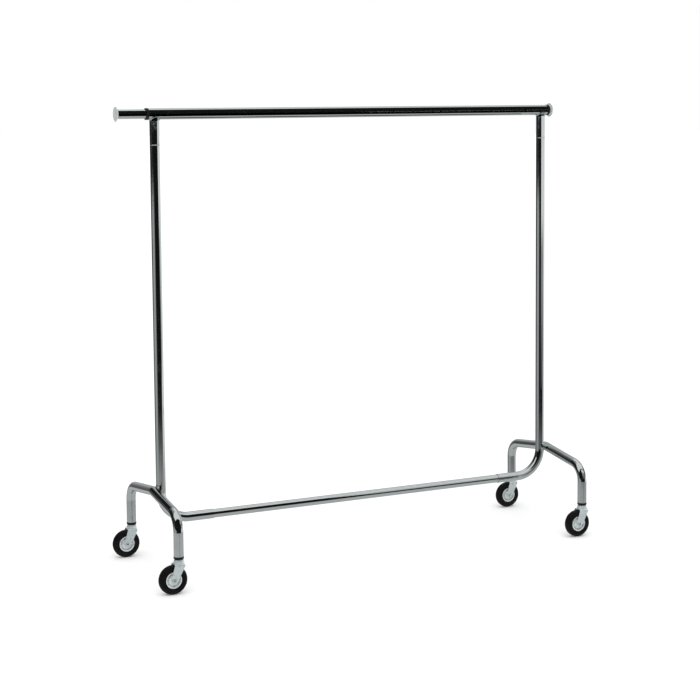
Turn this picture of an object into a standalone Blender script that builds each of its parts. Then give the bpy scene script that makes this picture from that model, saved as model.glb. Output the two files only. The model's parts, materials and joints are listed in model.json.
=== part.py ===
"""Rolling clothes rack: a chromed tube frame on four swivel casters, with a pull-out arm at each rail end.

Metres, +Z up. +X runs along the hanging rail, +Y from front to back. The origin is on the floor, under
the middle of the whole rack.
"""

from math import acos, cos, pi, radians, sin, sqrt, tan

import bmesh
import bpy
from mathutils import Matrix, Vector

# Overall sizes.
UPRIGHT_SPAN = 1.556  # between the two upright axes
RAIL_HEIGHT = 1.608  # hanging rail's axis above the floor
BASE_HEIGHT = 0.190  # base bar's axis above the floor
END_DEPTH = 0.510  # between the two leg axes of one end frame

# Tubes.
FRAME_TUBE = 0.034  # outer diameter of the uprights, stubs and end frames
RAIL_STEP = 0.004  # rail's diameter over the frame tubes'
TUBE_WALL = 0.0012
TUBE_FIT = 0.0005  # radial play of a tube pushed into another

# Hanging rail and its pull-out arms.
RAIL_OVERHANG = 0.031  # rail past each upright's axis
STUB_DROP = 0.106  # from the rail's axis down to the seam with the upright
CONNECTOR_LENGTH = 0.120
CONNECTOR_BEAD = 0.0024
BUSH_COLLAR_WIDTH = 0.0095
BUSH_COLLAR_STEP = 0.0015  # collar's rim over the rail's surface
BUSH_DEPTH = 0.030
BUSH_FACE = 0.0015  # collar's flat end past the rail's rim
BUSH_SLEEVE = 0.0008  # bush's wall between the rail and the arm
ARM_LENGTH = 0.400
LEFT_ARM_OUT = 0.108  # end disc's outer face past the rail's end, left arm partly drawn
RIGHT_ARM_OUT = 0.010  # right arm pushed home
DISC_DIAMETER = 0.052
DISC_THICKNESS = 0.0026
DISC_CONE = 0.0045
DISC_EDGE = 0.0008  # chamfer of the disc's rim
DISC_FLARE = 0.003  # cone's wide end over the arm's surface
DISC_PLUG = 0.016  # disc's plug inside the arm
GUIDE_LENGTH = 0.040
GUIDE_FLANGE = 0.006

# Uprights, elbows, base bar and end frames.
ELBOW_RADIUS = 0.100
ELBOW_STRAIGHT = 0.093  # level stretch past the elbow's bend
BASE_INSERT = 0.070  # base bar inside each elbow
END_SLOPE = radians(7.5)  # fall of each half of an end frame
END_CORNER_RADIUS = 0.062
END_APEX_RADIUS = 0.060
CROSSING_RISE = 0.006  # end frame's apex above the start of the elbow
UPRIGHT_SEAT = 0.006  # upright let into the end frame's tube

# Casters.
WHEEL_DIAMETER = 0.100
WHEEL_WIDTH = 0.030
TREAD_WIDTH = 0.016
CASTER_TRAIL = 0.022
RIM_DIAMETER = 0.057
RIM_INSET = 0.002  # rim's face behind the tyre's side
RIM_LIP = 0.0035
RIM_DISH = 0.0045  # depth of the rim's dish behind its face
RIM_SLOPE = 0.004  # width of the slope into the dish
RIM_WEB = 0.002  # web's rise from the dish to the hub
TYRE_SHOULDER = 0.0035
TYRE_SHOULDER_WIDTH = 0.0025
TYRE_WALL = 0.0055  # height of the sloping wall below the shoulder
HUB_DIAMETER = 0.0206
HUB_PROUD = 0.0006  # hub past the tyre's side
HUB_BUSH_WALL = 0.0026
FORK_PLATE = 0.0025
FORK_SIDE_CLEARANCE = 0.002
FORK_TOP_CLEARANCE = 0.0025
FORK_WIDTH_TOP = 0.032
FORK_WIDTH_AXLE = 0.026
FORK_BEND = 0.006
FORK_SHOULDER = 0.008  # depth of the fork's straight top edge
RACE_DIAMETER = 0.037
RACE_HEIGHT = 0.0124
RACE_CROWN = 0.0045  # inset of the cup's top edge
RACE_SHOULDER = 0.0012
RACE_SHOULDER_DROP = 0.0026
RACE_WALL_DROP = 0.006  # top of the cup's straight wall below its top edge
SOCKET_RING = 0.009
SOCKET_STEP = 0.0008  # socket ring's rim over the leg's surface
SOCKET_DEPTH = 0.042
SOCKET_CHAMFER = 0.001
STEM_DIAMETER = 0.011
STEM_NECK = 0.008
STEM_REACH = 0.030  # stem's top over the leg's end
STEM_POINT = 0.001  # chamfer of the stem's top
STEM_SHOULDER = 0.004  # stem's shoulder over the fork
STEM_RIVET = 0.001  # riveted end over the shank's radius
AXLE_DIAMETER = 0.008
AXLE_HEAD = 0.018
AXLE_BORE = 0.004
RIVET_HEIGHT = 0.0022
RIVET_CROWN = 0.0015

# Gaps between touching pieces, and the fineness of round shapes.
GAP = 0.0003
RUNNING_GAP = 0.0006
TUBE_SIDES = 16
BEND_STEPS = 5
FORK_BEND_STEPS = 3
WHEEL_STEPS = 24
SMALL_STEPS = 12
BEAD_RADIUS = 0.0026
BEAD_POINTS = 20
BEAD_SIDES = 8
CUTTER_SIDES = 24
CUTTER_MARGIN = 0.01  # cutters past what they cut
WELD_DISTANCE = 0.00001

# Sizes that follow.
half_span = UPRIGHT_SPAN / 2
rail_end = half_span + RAIL_OVERHANG
frame_radius = FRAME_TUBE / 2
rail_tube = FRAME_TUBE + RAIL_STEP
rail_radius = rail_tube / 2
arm_radius = rail_radius - TUBE_WALL - 2 * TUBE_FIT - BUSH_SLEEVE
arm_tube = 2 * arm_radius
elbow_reach = ELBOW_RADIUS + ELBOW_STRAIGHT
inner_tube = FRAME_TUBE - 2 * (TUBE_WALL + TUBE_FIT)
leg_x = half_span + FRAME_TUBE - UPRIGHT_SEAT
leg_y = END_DEPTH / 2
seam_height = RAIL_HEIGHT - STUB_DROP
apex_height = BASE_HEIGHT + ELBOW_RADIUS + CROSSING_RISE
corner_height = apex_height - leg_y * tan(END_SLOPE)
wheel_radius = WHEEL_DIAMETER / 2
fork_half = WHEEL_WIDTH / 2 + FORK_SIDE_CLEARANCE
fork_top = WHEEL_DIAMETER + FORK_TOP_CLEARANCE + FORK_PLATE
race_top = fork_top + GAP + RACE_HEIGHT
ring_bottom = race_top + RUNNING_GAP
leg_bottom = ring_bottom + SOCKET_RING + GAP
left_reach = max(rail_end + LEFT_ARM_OUT, leg_x + CASTER_TRAIL + wheel_radius)
right_reach = max(rail_end + RIGHT_ARM_OUT, leg_x - CASTER_TRAIL + wheel_radius)

COLOURS = {  # base colour, roughness, metallic
    "chrome": ((0.62, 0.64, 0.65), 0.12, 1.0),
    "weld": ((0.50, 0.51, 0.52), 0.30, 1.0),
    "zinc": ((0.42, 0.49, 0.51), 0.32, 1.0),
    "steel": ((0.30, 0.31, 0.32), 0.35, 1.0),
    "rubber": ((0.018, 0.016, 0.017), 0.70, 0.0),
    "plastic": ((0.020, 0.020, 0.022), 0.45, 0.0),
}


def clear_scene():
    """Removes what a new file holds."""
    for item in list(bpy.data.objects):
        bpy.data.objects.remove(item, do_unlink=True)


def make_collection(name):
    group = bpy.data.collections.new(name)
    bpy.context.scene.collection.children.link(group)
    return group


def make_material(name, finish):
    """A Principled material of the given finish, one for each piece."""
    colour, roughness, metallic = COLOURS[finish]
    material = bpy.data.materials.new(name)
    material.use_nodes = True
    shader = material.node_tree.nodes["Principled BSDF"]
    shader.inputs["Base Color"].default_value = (*colour, 1.0)
    shader.inputs["Roughness"].default_value = roughness
    shader.inputs["Metallic"].default_value = metallic
    material.diffuse_color = (*colour, 1.0)
    return material


clear_scene()
rack = make_collection("rolling_clothes_rack")
cutters = make_collection("cutters")


def add_empty(name, location, parent=None, rotation=(0.0, 0.0, 0.0)):
    empty = bpy.data.objects.new(name, None)
    empty.empty_display_size = 0.03
    empty.location = location
    empty.rotation_euler = rotation
    empty.parent = parent
    rack.objects.link(empty)
    return empty


def add_piece(name, data, finish, parent, location=(0.0, 0.0, 0.0), rotation=(0.0, 0.0, 0.0)):
    """An object of the rack under its parent empty, with its own material."""
    piece = bpy.data.objects.new(name, data)
    piece.location = location
    piece.rotation_euler = rotation
    piece.parent = parent
    rack.objects.link(piece)
    material = make_material(name, finish)
    if not data.materials:
        data.materials.append(material)
    piece.material_slots[0].link = "OBJECT"
    piece.material_slots[0].material = material
    return piece


def add_cutter(name, data, parent, location=(0.0, 0.0, 0.0), rotation=(0.0, 0.0, 0.0)):
    cutter = bpy.data.objects.new(name, data)
    cutter.location = location
    cutter.rotation_euler = rotation
    cutter.parent = parent
    cutter.hide_render = True
    cutter.display_type = "WIRE"
    cutters.objects.link(cutter)
    return cutter


def cut(piece, cutter, operation="DIFFERENCE"):
    modifier = piece.modifiers.new(f"{operation.lower()} {cutter.name}", "BOOLEAN")
    modifier.operation = operation
    modifier.object = cutter
    modifier.solver = "EXACT"


def rounded_path(corners, radii, quarter_steps=BEND_STEPS):
    """Points of a path through its corners, each inner corner turned into an arc of its radius."""
    points = [Vector(corners[0])]
    for before, corner, after, radius in zip(corners, corners[1:], corners[2:], radii):
        corner = Vector(corner)
        arrive = (corner - Vector(before)).normalized()
        leave = (Vector(after) - corner).normalized()
        turn = acos(max(-1.0, min(1.0, arrive.dot(leave))))
        setback = radius * tan(turn / 2)
        start = corner - arrive * setback
        inward = (leave - arrive * arrive.dot(leave)).normalized()
        centre = start + inward * radius
        steps = max(2, round(quarter_steps * turn / radians(90)))
        for step in range(steps + 1):
            angle = turn * step / steps
            points.append(centre - inward * radius * cos(angle) + arrive * radius * sin(angle))
    points.append(Vector(corners[-1]))
    return points


def path_curve(name, points, diameter, closed=False, caps=True, sides=TUBE_SIDES):
    """A round curve of one straight-edged spline."""
    curve = bpy.data.curves.new(name, "CURVE")
    curve.dimensions = "3D"
    curve.bevel_depth = diameter / 2
    curve.bevel_resolution = sides // 2 - 2
    curve.use_fill_caps = caps
    spline = curve.splines.new("POLY")
    spline.points.add(len(points) - 1)
    spline.use_cyclic_u = closed
    for target, point in zip(spline.points, points):
        target.co = (*point, 1.0)
    return curve


def evaluated_mesh(name, source):
    """The mesh of an object with its modifiers, doubles merged, in the object's own frame."""
    bpy.context.view_layer.update()
    depsgraph = bpy.context.evaluated_depsgraph_get()
    mesh = bpy.data.meshes.new_from_object(source.evaluated_get(depsgraph))
    mesh.name = name
    shape = bmesh.new()
    shape.from_mesh(mesh)
    bmesh.ops.remove_doubles(shape, verts=shape.verts, dist=WELD_DISTANCE)
    shape.to_mesh(mesh)
    shape.free()
    return mesh


def curve_as_mesh(name, curve, wall=0.0):
    """A curve made a mesh: solid with its caps, or hollow with a wall inside its outer surface."""
    holder = bpy.data.objects.new(name, curve)
    cutters.objects.link(holder)
    if wall:
        shell = holder.modifiers.new("wall", "SOLIDIFY")
        shell.thickness = wall
        shell.offset = -1.0
        shell.use_even_offset = True
        shell.use_rim = True
    mesh = evaluated_mesh(name, holder)
    bpy.data.objects.remove(holder, do_unlink=True)
    bpy.data.curves.remove(curve)
    return mesh


def tube_mesh(name, points, diameter, wall=TUBE_WALL):
    """A hollow tube, open at both ends, along a path."""
    return curve_as_mesh(name, path_curve(name, points, diameter, caps=False), wall)


def rod_mesh(name, points, diameter, closed=False, sides=TUBE_SIDES):
    """A solid round bar along a path."""
    return curve_as_mesh(name, path_curve(name, points, diameter, closed, not closed, sides))


def profile_mesh(name, profile, closed, turn=0.0):
    """The outline of a turned piece, as (radius, height) pairs, down its outer side."""
    shape = bmesh.new()
    corners = [shape.verts.new((radius * cos(turn), radius * sin(turn), height)) for radius, height in profile]
    pairs = list(zip(corners, corners[1:]))
    if closed:
        pairs.append((corners[-1], corners[0]))
    for pair in pairs:
        shape.edges.new(pair)
    mesh = bpy.data.meshes.new(name)
    shape.to_mesh(mesh)
    shape.free()
    return mesh


def turn_profile(piece, steps):
    """A full turn about the piece's own Z axis."""
    screw = piece.modifiers.new("turned", "SCREW")
    screw.steps = steps
    screw.render_steps = steps
    screw.use_merge_vertices = True
    screw.merge_threshold = WELD_DISTANCE
    screw.use_smooth_shade = True
    return screw


def add_turned(name, profile, finish, parent, steps, closed=True, turn=0.0, **place):
    piece = add_piece(name, profile_mesh(name, profile, closed, turn), finish, parent, **place)
    turn_profile(piece, steps)
    return piece


def smooth(mesh, angle=35):
    mesh.shade_smooth()
    mesh.set_sharp_from_angle(angle=radians(angle))


def add_solid(name, mesh, finish, parent, **place):
    smooth(mesh)
    return add_piece(name, mesh, finish, parent, **place)


def cylinder_mesh(name, radius, low, high, steps=CUTTER_SIDES):
    """A solid cylinder along Z, used to cut a clearance."""
    shape = bmesh.new()
    middle = Matrix.Translation((0.0, 0.0, (low + high) / 2))
    bmesh.ops.create_cone(
        shape, cap_ends=True, segments=steps, radius1=radius, radius2=radius, depth=high - low, matrix=middle
    )
    mesh = bpy.data.meshes.new(name)
    shape.to_mesh(mesh)
    shape.free()
    return mesh


def upright_path():
    """Upright and elbow on the right-hand side, from the seam down to the elbow's open end."""
    return rounded_path(
        [(half_span, 0, seam_height - GAP - CONNECTOR_BEAD / 2), (half_span, 0, BASE_HEIGHT),
         (half_span - elbow_reach, 0, BASE_HEIGHT)],
        [ELBOW_RADIUS],
    )


def end_frame_path():
    """One bent tube: up the front leg, over the apex and down the back leg."""
    return rounded_path(
        [(leg_x, -leg_y, leg_bottom), (leg_x, -leg_y, corner_height), (leg_x, 0, apex_height),
         (leg_x, leg_y, corner_height), (leg_x, leg_y, leg_bottom)],
        [END_CORNER_RADIUS, END_APEX_RADIUS, END_CORNER_RADIUS],
    )


def mirrored(points, side):
    return [Vector((side * point.x, point.y, point.z)) for point in points]


def make_rail(root):
    ends = [Vector((-rail_end, 0, RAIL_HEIGHT)), Vector((rail_end, 0, RAIL_HEIGHT))]
    return add_solid("top_rail", tube_mesh("top_rail", ends, rail_tube), "chrome", root)


def rail_clearance(root, label):
    """The rail's surface, stood off by the gap, as a cutter."""
    ends = [Vector((-rail_end, 0, RAIL_HEIGHT)), Vector((rail_end, 0, RAIL_HEIGHT))]
    return add_cutter(label, rod_mesh(label, ends, rail_tube + 2 * GAP), root)


def make_stub(side_name, side, root):
    """Short tube under the rail, its top cut to the rail's round."""
    name = f"{side_name}_stub"
    low = Vector((side * half_span, 0, seam_height + GAP + CONNECTOR_BEAD / 2))
    high = Vector((side * half_span, 0, RAIL_HEIGHT))
    stub = add_solid(name, tube_mesh(name, [low, high], FRAME_TUBE), "chrome", root)
    cut(stub, rail_clearance(root, f"{name}_saddle"))


def make_rail_weld(side_name, side, root):
    """Weld bead along the line where the stub's surface meets the rail's."""
    name = f"{side_name}_rail_weld"
    points = []
    for step in range(BEAD_POINTS):
        angle = 2 * pi * step / BEAD_POINTS
        across = frame_radius * sin(angle)
        drop = sqrt(rail_radius**2 - across**2)
        points.append(Vector((side * half_span + frame_radius * cos(angle), across, RAIL_HEIGHT - drop)))
    weld = add_solid(name, rod_mesh(name, points, 2 * BEAD_RADIUS, closed=True, sides=BEAD_SIDES), "weld", root)
    cut(weld, rail_clearance(root, f"{name}_rail_side"))
    stub_side = cylinder_mesh(f"{name}_stub_side", frame_radius + GAP, seam_height, RAIL_HEIGHT)
    cut(weld, add_cutter(f"{name}_stub_side", stub_side, root, location=(side * half_span, 0, 0)))


def make_connector(side_name, side, root):
    """Tube inside the stub and the upright, with a bead that shows as the seam between them."""
    radius = inner_tube / 2
    bore = radius - TUBE_WALL
    half = CONNECTOR_LENGTH / 2
    bead = CONNECTOR_BEAD / 2
    profile = [
        (radius, half), (radius, bead), (frame_radius, bead), (frame_radius, -bead),
        (radius, -bead), (radius, -half), (bore, -half), (bore, half),
    ]
    add_turned(f"{side_name}_connector", profile, "chrome", root, TUBE_SIDES,
               location=(side * half_span, 0, seam_height))


def make_upright(side_name, side, root):
    name = f"{side_name}_upright"
    add_solid(name, tube_mesh(name, mirrored(upright_path(), side), FRAME_TUBE), "chrome", root)


def make_base_bar(root):
    reach = half_span - elbow_reach + BASE_INSERT
    ends = [Vector((-reach, 0, BASE_HEIGHT)), Vector((reach, 0, BASE_HEIGHT))]
    add_solid("base_bar", tube_mesh("base_bar", ends, inner_tube), "chrome", root)


def make_end_frame(side_name, side, root):
    """Bent tube of one end, with a seat for the upright cut into its inner side."""
    name = f"{side_name}_end_frame"
    frame = add_solid(name, tube_mesh(name, mirrored(end_frame_path(), side), FRAME_TUBE), "chrome", root)
    seat = cylinder_mesh(f"{name}_seat", frame_radius + GAP, BASE_HEIGHT, apex_height + FRAME_TUBE)
    cut(frame, add_cutter(f"{name}_seat", seat, root, location=(side * half_span, 0, 0)))


def make_frame_weld(side_name, side, root):
    """Weld bead round the saddle where the upright sits in the end frame."""
    name = f"{side_name}_frame_weld"
    middle = (leg_x - half_span) / 2
    swing = frame_radius - middle
    crossing = apex_height - END_APEX_RADIUS * (1 / cos(END_SLOPE) - 1)
    points = []
    for step in range(BEAD_POINTS):
        angle = 2 * pi * step / BEAD_POINTS
        shift = -swing * cos(2 * angle)
        across = sqrt(max(0.0, frame_radius**2 - (middle + shift) ** 2))
        rise = sqrt(max(0.0, frame_radius**2 - (middle - shift) ** 2))
        across = across if cos(angle) > 0 else -across
        rise = rise if sin(angle) > 0 else -rise
        points.append(Vector((side * (half_span + middle + shift), across, crossing + rise)))
    weld = add_solid(name, rod_mesh(name, points, 2 * BEAD_RADIUS, closed=True, sides=BEAD_SIDES), "weld", root)
    tubes = {"upright_side": upright_path(), "frame_side": end_frame_path()}
    for label, path in tubes.items():
        clearance = rod_mesh(f"{name}_{label}", mirrored(path, side), FRAME_TUBE + 2 * GAP)
        cut(weld, add_cutter(f"{name}_{label}", clearance, root))


def make_rail_bush(side_name, side, root):
    """Plastic bush in the rail's end that the arm slides through, with a collar over the rail's rim."""
    bore = arm_radius + TUBE_FIT
    sleeve = rail_radius - TUBE_WALL - TUBE_FIT
    collar = rail_radius + BUSH_COLLAR_STEP
    lip = rail_radius + GAP
    face = GAP + BUSH_FACE
    profile = [
        (collar, face), (collar, face - BUSH_COLLAR_WIDTH), (lip, face - BUSH_COLLAR_WIDTH), (lip, GAP),
        (sleeve, GAP), (sleeve, -BUSH_DEPTH), (bore, -BUSH_DEPTH), (bore, face),
    ]
    add_turned(f"{side_name}_rail_bush", profile, "plastic", root, TUBE_SIDES,
               location=(side * rail_end, 0, RAIL_HEIGHT), rotation=(0, side * pi / 2, 0))


def make_arm(side_name, side, out, root):
    """Pull-out arm with its end disc and its inner guide, under an empty on the arm's axis."""
    slide = add_empty(f"{side_name}_arm_axis", (side * (rail_end + out), 0, RAIL_HEIGHT), root,
                      (0, side * pi / 2, 0))
    cone_base = -DISC_THICKNESS - DISC_CONE
    tube_top = cone_base - GAP
    ends = [Vector((0, 0, tube_top)), Vector((0, 0, tube_top - ARM_LENGTH))]
    name = f"{side_name}_arm"
    add_solid(name, tube_mesh(name, ends, arm_tube), "chrome", slide)
    bore = arm_radius - TUBE_WALL - TUBE_FIT
    disc = DISC_DIAMETER / 2
    profile = [
        (0, 0), (disc - DISC_EDGE, 0), (disc, -DISC_EDGE), (disc, DISC_EDGE - DISC_THICKNESS),
        (disc - DISC_EDGE, -DISC_THICKNESS), (arm_radius + DISC_FLARE, -DISC_THICKNESS), (arm_radius, cone_base),
        (bore, cone_base), (bore, cone_base - DISC_PLUG), (0, cone_base - DISC_PLUG),
    ]
    add_turned(f"{side_name}_end_disc", profile, "chrome", slide, TUBE_SIDES, closed=False)
    inner_end = tube_top - ARM_LENGTH - GAP
    plug = GUIDE_LENGTH / 2
    profile = [
        (0, inner_end + plug), (bore, inner_end + plug), (bore, inner_end), (arm_radius, inner_end),
        (arm_radius, inner_end - GUIDE_FLANGE), (0, inner_end - GUIDE_FLANGE),
    ]
    add_turned(f"{side_name}_arm_guide", profile, "plastic", slide, TUBE_SIDES, closed=False)


def make_socket(prefix, foot):
    """Plastic socket in a leg's end: a ring that shows, and a sleeve that grips the caster's stem."""
    sleeve = frame_radius - TUBE_WALL - TUBE_FIT
    bore = STEM_DIAMETER / 2 + GAP
    ring = frame_radius + SOCKET_STEP
    profile = [
        (sleeve, leg_bottom + SOCKET_DEPTH), (sleeve, leg_bottom - GAP), (ring, leg_bottom - GAP),
        (ring, ring_bottom + SOCKET_CHAMFER), (ring - SOCKET_CHAMFER, ring_bottom), (bore, ring_bottom),
        (bore, leg_bottom + SOCKET_DEPTH),
    ]
    add_turned(f"{prefix}_socket", profile, "plastic", foot, TUBE_SIDES)


def make_stem(prefix, foot):
    """Caster stem: the shank in the socket, and a riveted neck that the fork turns on."""
    shank = STEM_DIAMETER / 2
    neck = STEM_NECK / 2
    plate_under = fork_top - FORK_PLATE
    top = leg_bottom + STEM_REACH
    profile = [
        (0, top), (shank - STEM_POINT, top), (shank, top - 2 * STEM_POINT),
        (shank, fork_top + STEM_SHOULDER), (neck, fork_top + STEM_SHOULDER), (neck, plate_under - GAP),
        (shank + STEM_RIVET, plate_under - GAP), (shank, plate_under - RIVET_HEIGHT),
        (0, plate_under - RIVET_HEIGHT),
    ]
    add_turned(f"{prefix}_stem", profile, "steel", foot, SMALL_STEPS, closed=False)


def make_race(prefix, foot):
    """Pressed bearing cup between the fork and the leg."""
    rim = RACE_DIAMETER / 2
    bore = STEM_DIAMETER / 2 + GAP
    base = fork_top + GAP
    profile = [
        (rim - RACE_CROWN, race_top), (rim - RACE_SHOULDER, race_top - RACE_SHOULDER_DROP),
        (rim, race_top - RACE_WALL_DROP), (rim, base),
        (bore, base), (bore, race_top),
    ]
    add_turned(f"{prefix}_race", profile, "zinc", foot, TUBE_SIDES)


def fork_mesh():
    """Fork about the swivel's axis: a bent plate over the wheel, cut to its side outline, with its holes."""
    outer = fork_half + FORK_PLATE
    low = -wheel_radius
    section = rounded_path(
        [(0, -outer, low), (0, -outer, fork_top), (0, outer, fork_top), (0, outer, low)],
        [FORK_BEND, FORK_BEND],
        FORK_BEND_STEPS,
    )
    strip = bpy.data.curves.new("fork_strip", "CURVE")
    strip.dimensions = "3D"
    strip.extrude = WHEEL_DIAMETER
    spline = strip.splines.new("POLY")
    spline.points.add(len(section) - 1)
    for target, point in zip(spline.points, section):
        target.co = (point.y, point.z, 0.0, 1.0)
    holder = bpy.data.objects.new("fork_strip", strip)
    holder.rotation_euler = (pi / 2, 0, pi / 2)
    cutters.objects.link(holder)
    plate = holder.modifiers.new("plate", "SOLIDIFY")
    plate.thickness = FORK_PLATE
    plate.offset = -1.0
    plate.use_even_offset = True
    strip_mesh = evaluated_mesh("fork", holder)
    strip_mesh.transform(holder.rotation_euler.to_matrix().to_4x4())
    bpy.data.objects.remove(holder, do_unlink=True)
    bpy.data.curves.remove(strip)
    shape = bmesh.new()
    shape.from_mesh(strip_mesh)
    bmesh.ops.recalc_face_normals(shape, faces=shape.faces)
    shape.to_mesh(strip_mesh)
    shape.free()

    half_top = FORK_WIDTH_TOP / 2
    end_radius = FORK_WIDTH_AXLE / 2
    over = fork_top + CUTTER_MARGIN
    shoulder = fork_top - FORK_SHOULDER
    outline = [(-half_top, over), (half_top, over), (half_top, shoulder), (-half_top, shoulder)]
    for step in range(WHEEL_STEPS):
        angle = 2 * pi * step / WHEEL_STEPS
        outline.append((-CASTER_TRAIL + end_radius * cos(angle), wheel_radius + end_radius * sin(angle)))
    side_view = bmesh.new()
    for y in (-2 * outer, 2 * outer):
        for x, z in outline:
            side_view.verts.new((x, y, z))
    hull = bmesh.ops.convex_hull(side_view, input=side_view.verts)
    spare = [item for item in hull["geom_interior"] if isinstance(item, bmesh.types.BMVert)]
    bmesh.ops.delete(side_view, geom=spare, context="VERTS")
    outline_mesh = bpy.data.meshes.new("fork_outline")
    side_view.to_mesh(outline_mesh)
    side_view.free()

    body = bpy.data.objects.new("fork_body", strip_mesh)
    cutters.objects.link(body)
    cut(body, add_cutter("fork_outline", outline_mesh, None), "INTERSECT")
    stem_hole = cylinder_mesh("fork_stem_hole", STEM_NECK / 2 + GAP, wheel_radius, over, SMALL_STEPS)
    cut(body, add_cutter("fork_stem_hole", stem_hole, None))
    axle_hole = cylinder_mesh("fork_axle_hole", AXLE_DIAMETER / 2 + GAP, -2 * outer, 2 * outer, SMALL_STEPS)
    cut(body, add_cutter("fork_axle_hole", axle_hole, None, (-CASTER_TRAIL, 0, wheel_radius), (pi / 2, 0, 0)))
    mesh = evaluated_mesh("fork", body)
    bpy.data.objects.remove(body, do_unlink=True)
    smooth(mesh)
    return mesh


def make_wheel(prefix, axle):
    """Tyre, pressed rim and hub bush about the axle, with a flat of the tyre's tread on the floor."""
    half_step = pi / WHEEL_STEPS
    flat = 1 / cos(half_step)
    tread = TREAD_WIDTH / 2
    side = WHEEL_WIDTH / 2
    rim = RIM_DIAMETER / 2
    radius = wheel_radius * flat
    seat = rim + 1.5 * GAP
    shoulder = radius - TYRE_SHOULDER
    wall = shoulder - TYRE_WALL
    face = side - RIM_INSET
    slope = side - TYRE_SHOULDER_WIDTH
    profile = [
        (radius, tread), (radius, -tread), (shoulder, -slope), (wall, -side), (seat, -face), (seat, face),
        (wall, side), (shoulder, slope),
    ]
    add_turned(f"{prefix}_tyre", profile, "rubber", axle, WHEEL_STEPS, turn=half_step)

    hub = HUB_DIAMETER / 2
    bush = AXLE_DIAMETER / 2 + HUB_BUSH_WALL
    lip = rim - RIM_LIP
    slope_end = lip - RIM_SLOPE
    dish = face - RIM_DISH
    web = dish + RIM_WEB
    boss = side + HUB_PROUD
    profile = [
        (rim, face), (rim, -face), (lip, -face), (slope_end, -dish), (hub, -web), (hub, -boss), (bush, -boss),
        (bush, boss), (hub, boss), (hub, web), (slope_end, dish), (lip, face),
    ]
    add_turned(f"{prefix}_rim", profile, "zinc", axle, WHEEL_STEPS, turn=half_step)

    sleeve = bush - GAP
    bore = AXLE_DIAMETER / 2 + GAP
    length = fork_half - GAP
    profile = [(sleeve, length), (sleeve, -length), (bore, -length), (bore, length)]
    add_turned(f"{prefix}_hub_bush", profile, "plastic", axle, SMALL_STEPS)


def make_axle(prefix, axle):
    """Hollow rivet through the fork and the hub, headed at both ends."""
    shank = AXLE_DIAMETER / 2
    head = AXLE_HEAD / 2
    under = fork_half + FORK_PLATE + GAP
    top = under + RIVET_HEIGHT
    bore = AXLE_BORE / 2
    profile = [
        (head - RIVET_CROWN, top), (head, under), (shank, under), (shank, -under), (head, -under),
        (head - RIVET_CROWN, -top), (bore, -top), (bore, top),
    ]
    add_turned(f"{prefix}_axle", profile, "steel", axle, SMALL_STEPS)


def make_caster(prefix, x, y, fork, root):
    """One caster: the pieces fixed in the leg, the swivelling fork and the wheel."""
    foot = add_empty(f"{prefix}_foot", (x, y, 0), root)
    make_socket(prefix, foot)
    make_stem(prefix, foot)
    make_race(prefix, foot)
    swivel = add_empty(f"{prefix}_swivel_axis", (0, 0, 0), foot)
    add_piece(f"{prefix}_fork", fork.copy(), "zinc", swivel)
    axle = add_empty(f"{prefix}_wheel_axis", (-CASTER_TRAIL, 0, wheel_radius), swivel, (-pi / 2, 0, 0))
    make_axle(prefix, axle)
    make_wheel(prefix, axle)


def make_rack():
    root = add_empty("rack_origin", ((left_reach - right_reach) / 2, 0, 0))
    make_rail(root)
    make_base_bar(root)
    for side_name, side, out in (("left", -1, LEFT_ARM_OUT), ("right", 1, RIGHT_ARM_OUT)):
        make_stub(side_name, side, root)
        make_rail_weld(side_name, side, root)
        make_connector(side_name, side, root)
        make_upright(side_name, side, root)
        make_end_frame(side_name, side, root)
        make_frame_weld(side_name, side, root)
        make_rail_bush(side_name, side, root)
        make_arm(side_name, side, out, root)
    fork = fork_mesh()
    for depth_name, depth in (("front", -1), ("back", 1)):
        for side_name, side in (("left", -1), ("right", 1)):
            make_caster(f"{depth_name}_{side_name}", side * leg_x, depth * leg_y, fork, root)


make_rack()
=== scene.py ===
"""Rolling clothes rack: the finished look of every piece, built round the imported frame.

Metres, +Z up. +X runs along the hanging rail and +Y from front to back.
"""

import json
from math import copysign, cos, pi, radians, sin, sqrt, tan

import bmesh
import bpy
from mathutils import Matrix, Vector


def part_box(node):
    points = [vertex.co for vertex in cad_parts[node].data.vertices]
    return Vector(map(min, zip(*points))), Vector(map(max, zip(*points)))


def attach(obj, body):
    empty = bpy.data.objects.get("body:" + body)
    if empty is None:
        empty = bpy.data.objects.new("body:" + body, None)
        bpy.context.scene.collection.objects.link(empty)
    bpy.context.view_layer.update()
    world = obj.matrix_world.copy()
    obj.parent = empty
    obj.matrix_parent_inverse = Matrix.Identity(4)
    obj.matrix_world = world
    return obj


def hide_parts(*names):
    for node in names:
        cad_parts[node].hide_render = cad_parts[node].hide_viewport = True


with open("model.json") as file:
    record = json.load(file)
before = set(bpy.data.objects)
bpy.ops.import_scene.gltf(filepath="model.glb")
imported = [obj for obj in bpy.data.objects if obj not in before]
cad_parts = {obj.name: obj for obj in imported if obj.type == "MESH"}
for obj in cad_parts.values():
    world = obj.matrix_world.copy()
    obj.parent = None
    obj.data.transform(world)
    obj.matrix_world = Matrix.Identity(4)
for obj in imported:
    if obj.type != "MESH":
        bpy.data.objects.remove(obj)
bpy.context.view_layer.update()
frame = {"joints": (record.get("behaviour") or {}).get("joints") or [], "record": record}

bl_info = {
    "name": "Rolling Clothes Rack",
    "version": (1, 0, 0),
    "blender": (4, 5, 0),
    "location": "3D View > Sidebar > Rack",
    "description": "Models and finishes a chromed clothes rack on four swivel casters",
    "category": "Object",
}

CASTERS = ("front_left", "front_right", "back_left", "back_right")
BODY_OF = {node: body for body, nodes in frame["record"]["behaviour"]["bodies"].items() for node in nodes}
PIVOT_OF = {joint["child"]: Vector(joint["pos_m"]) for joint in frame["joints"] if "pos_m" in joint}


def middle_of(node):
    low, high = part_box(node)
    return (low + high) / 2


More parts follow.
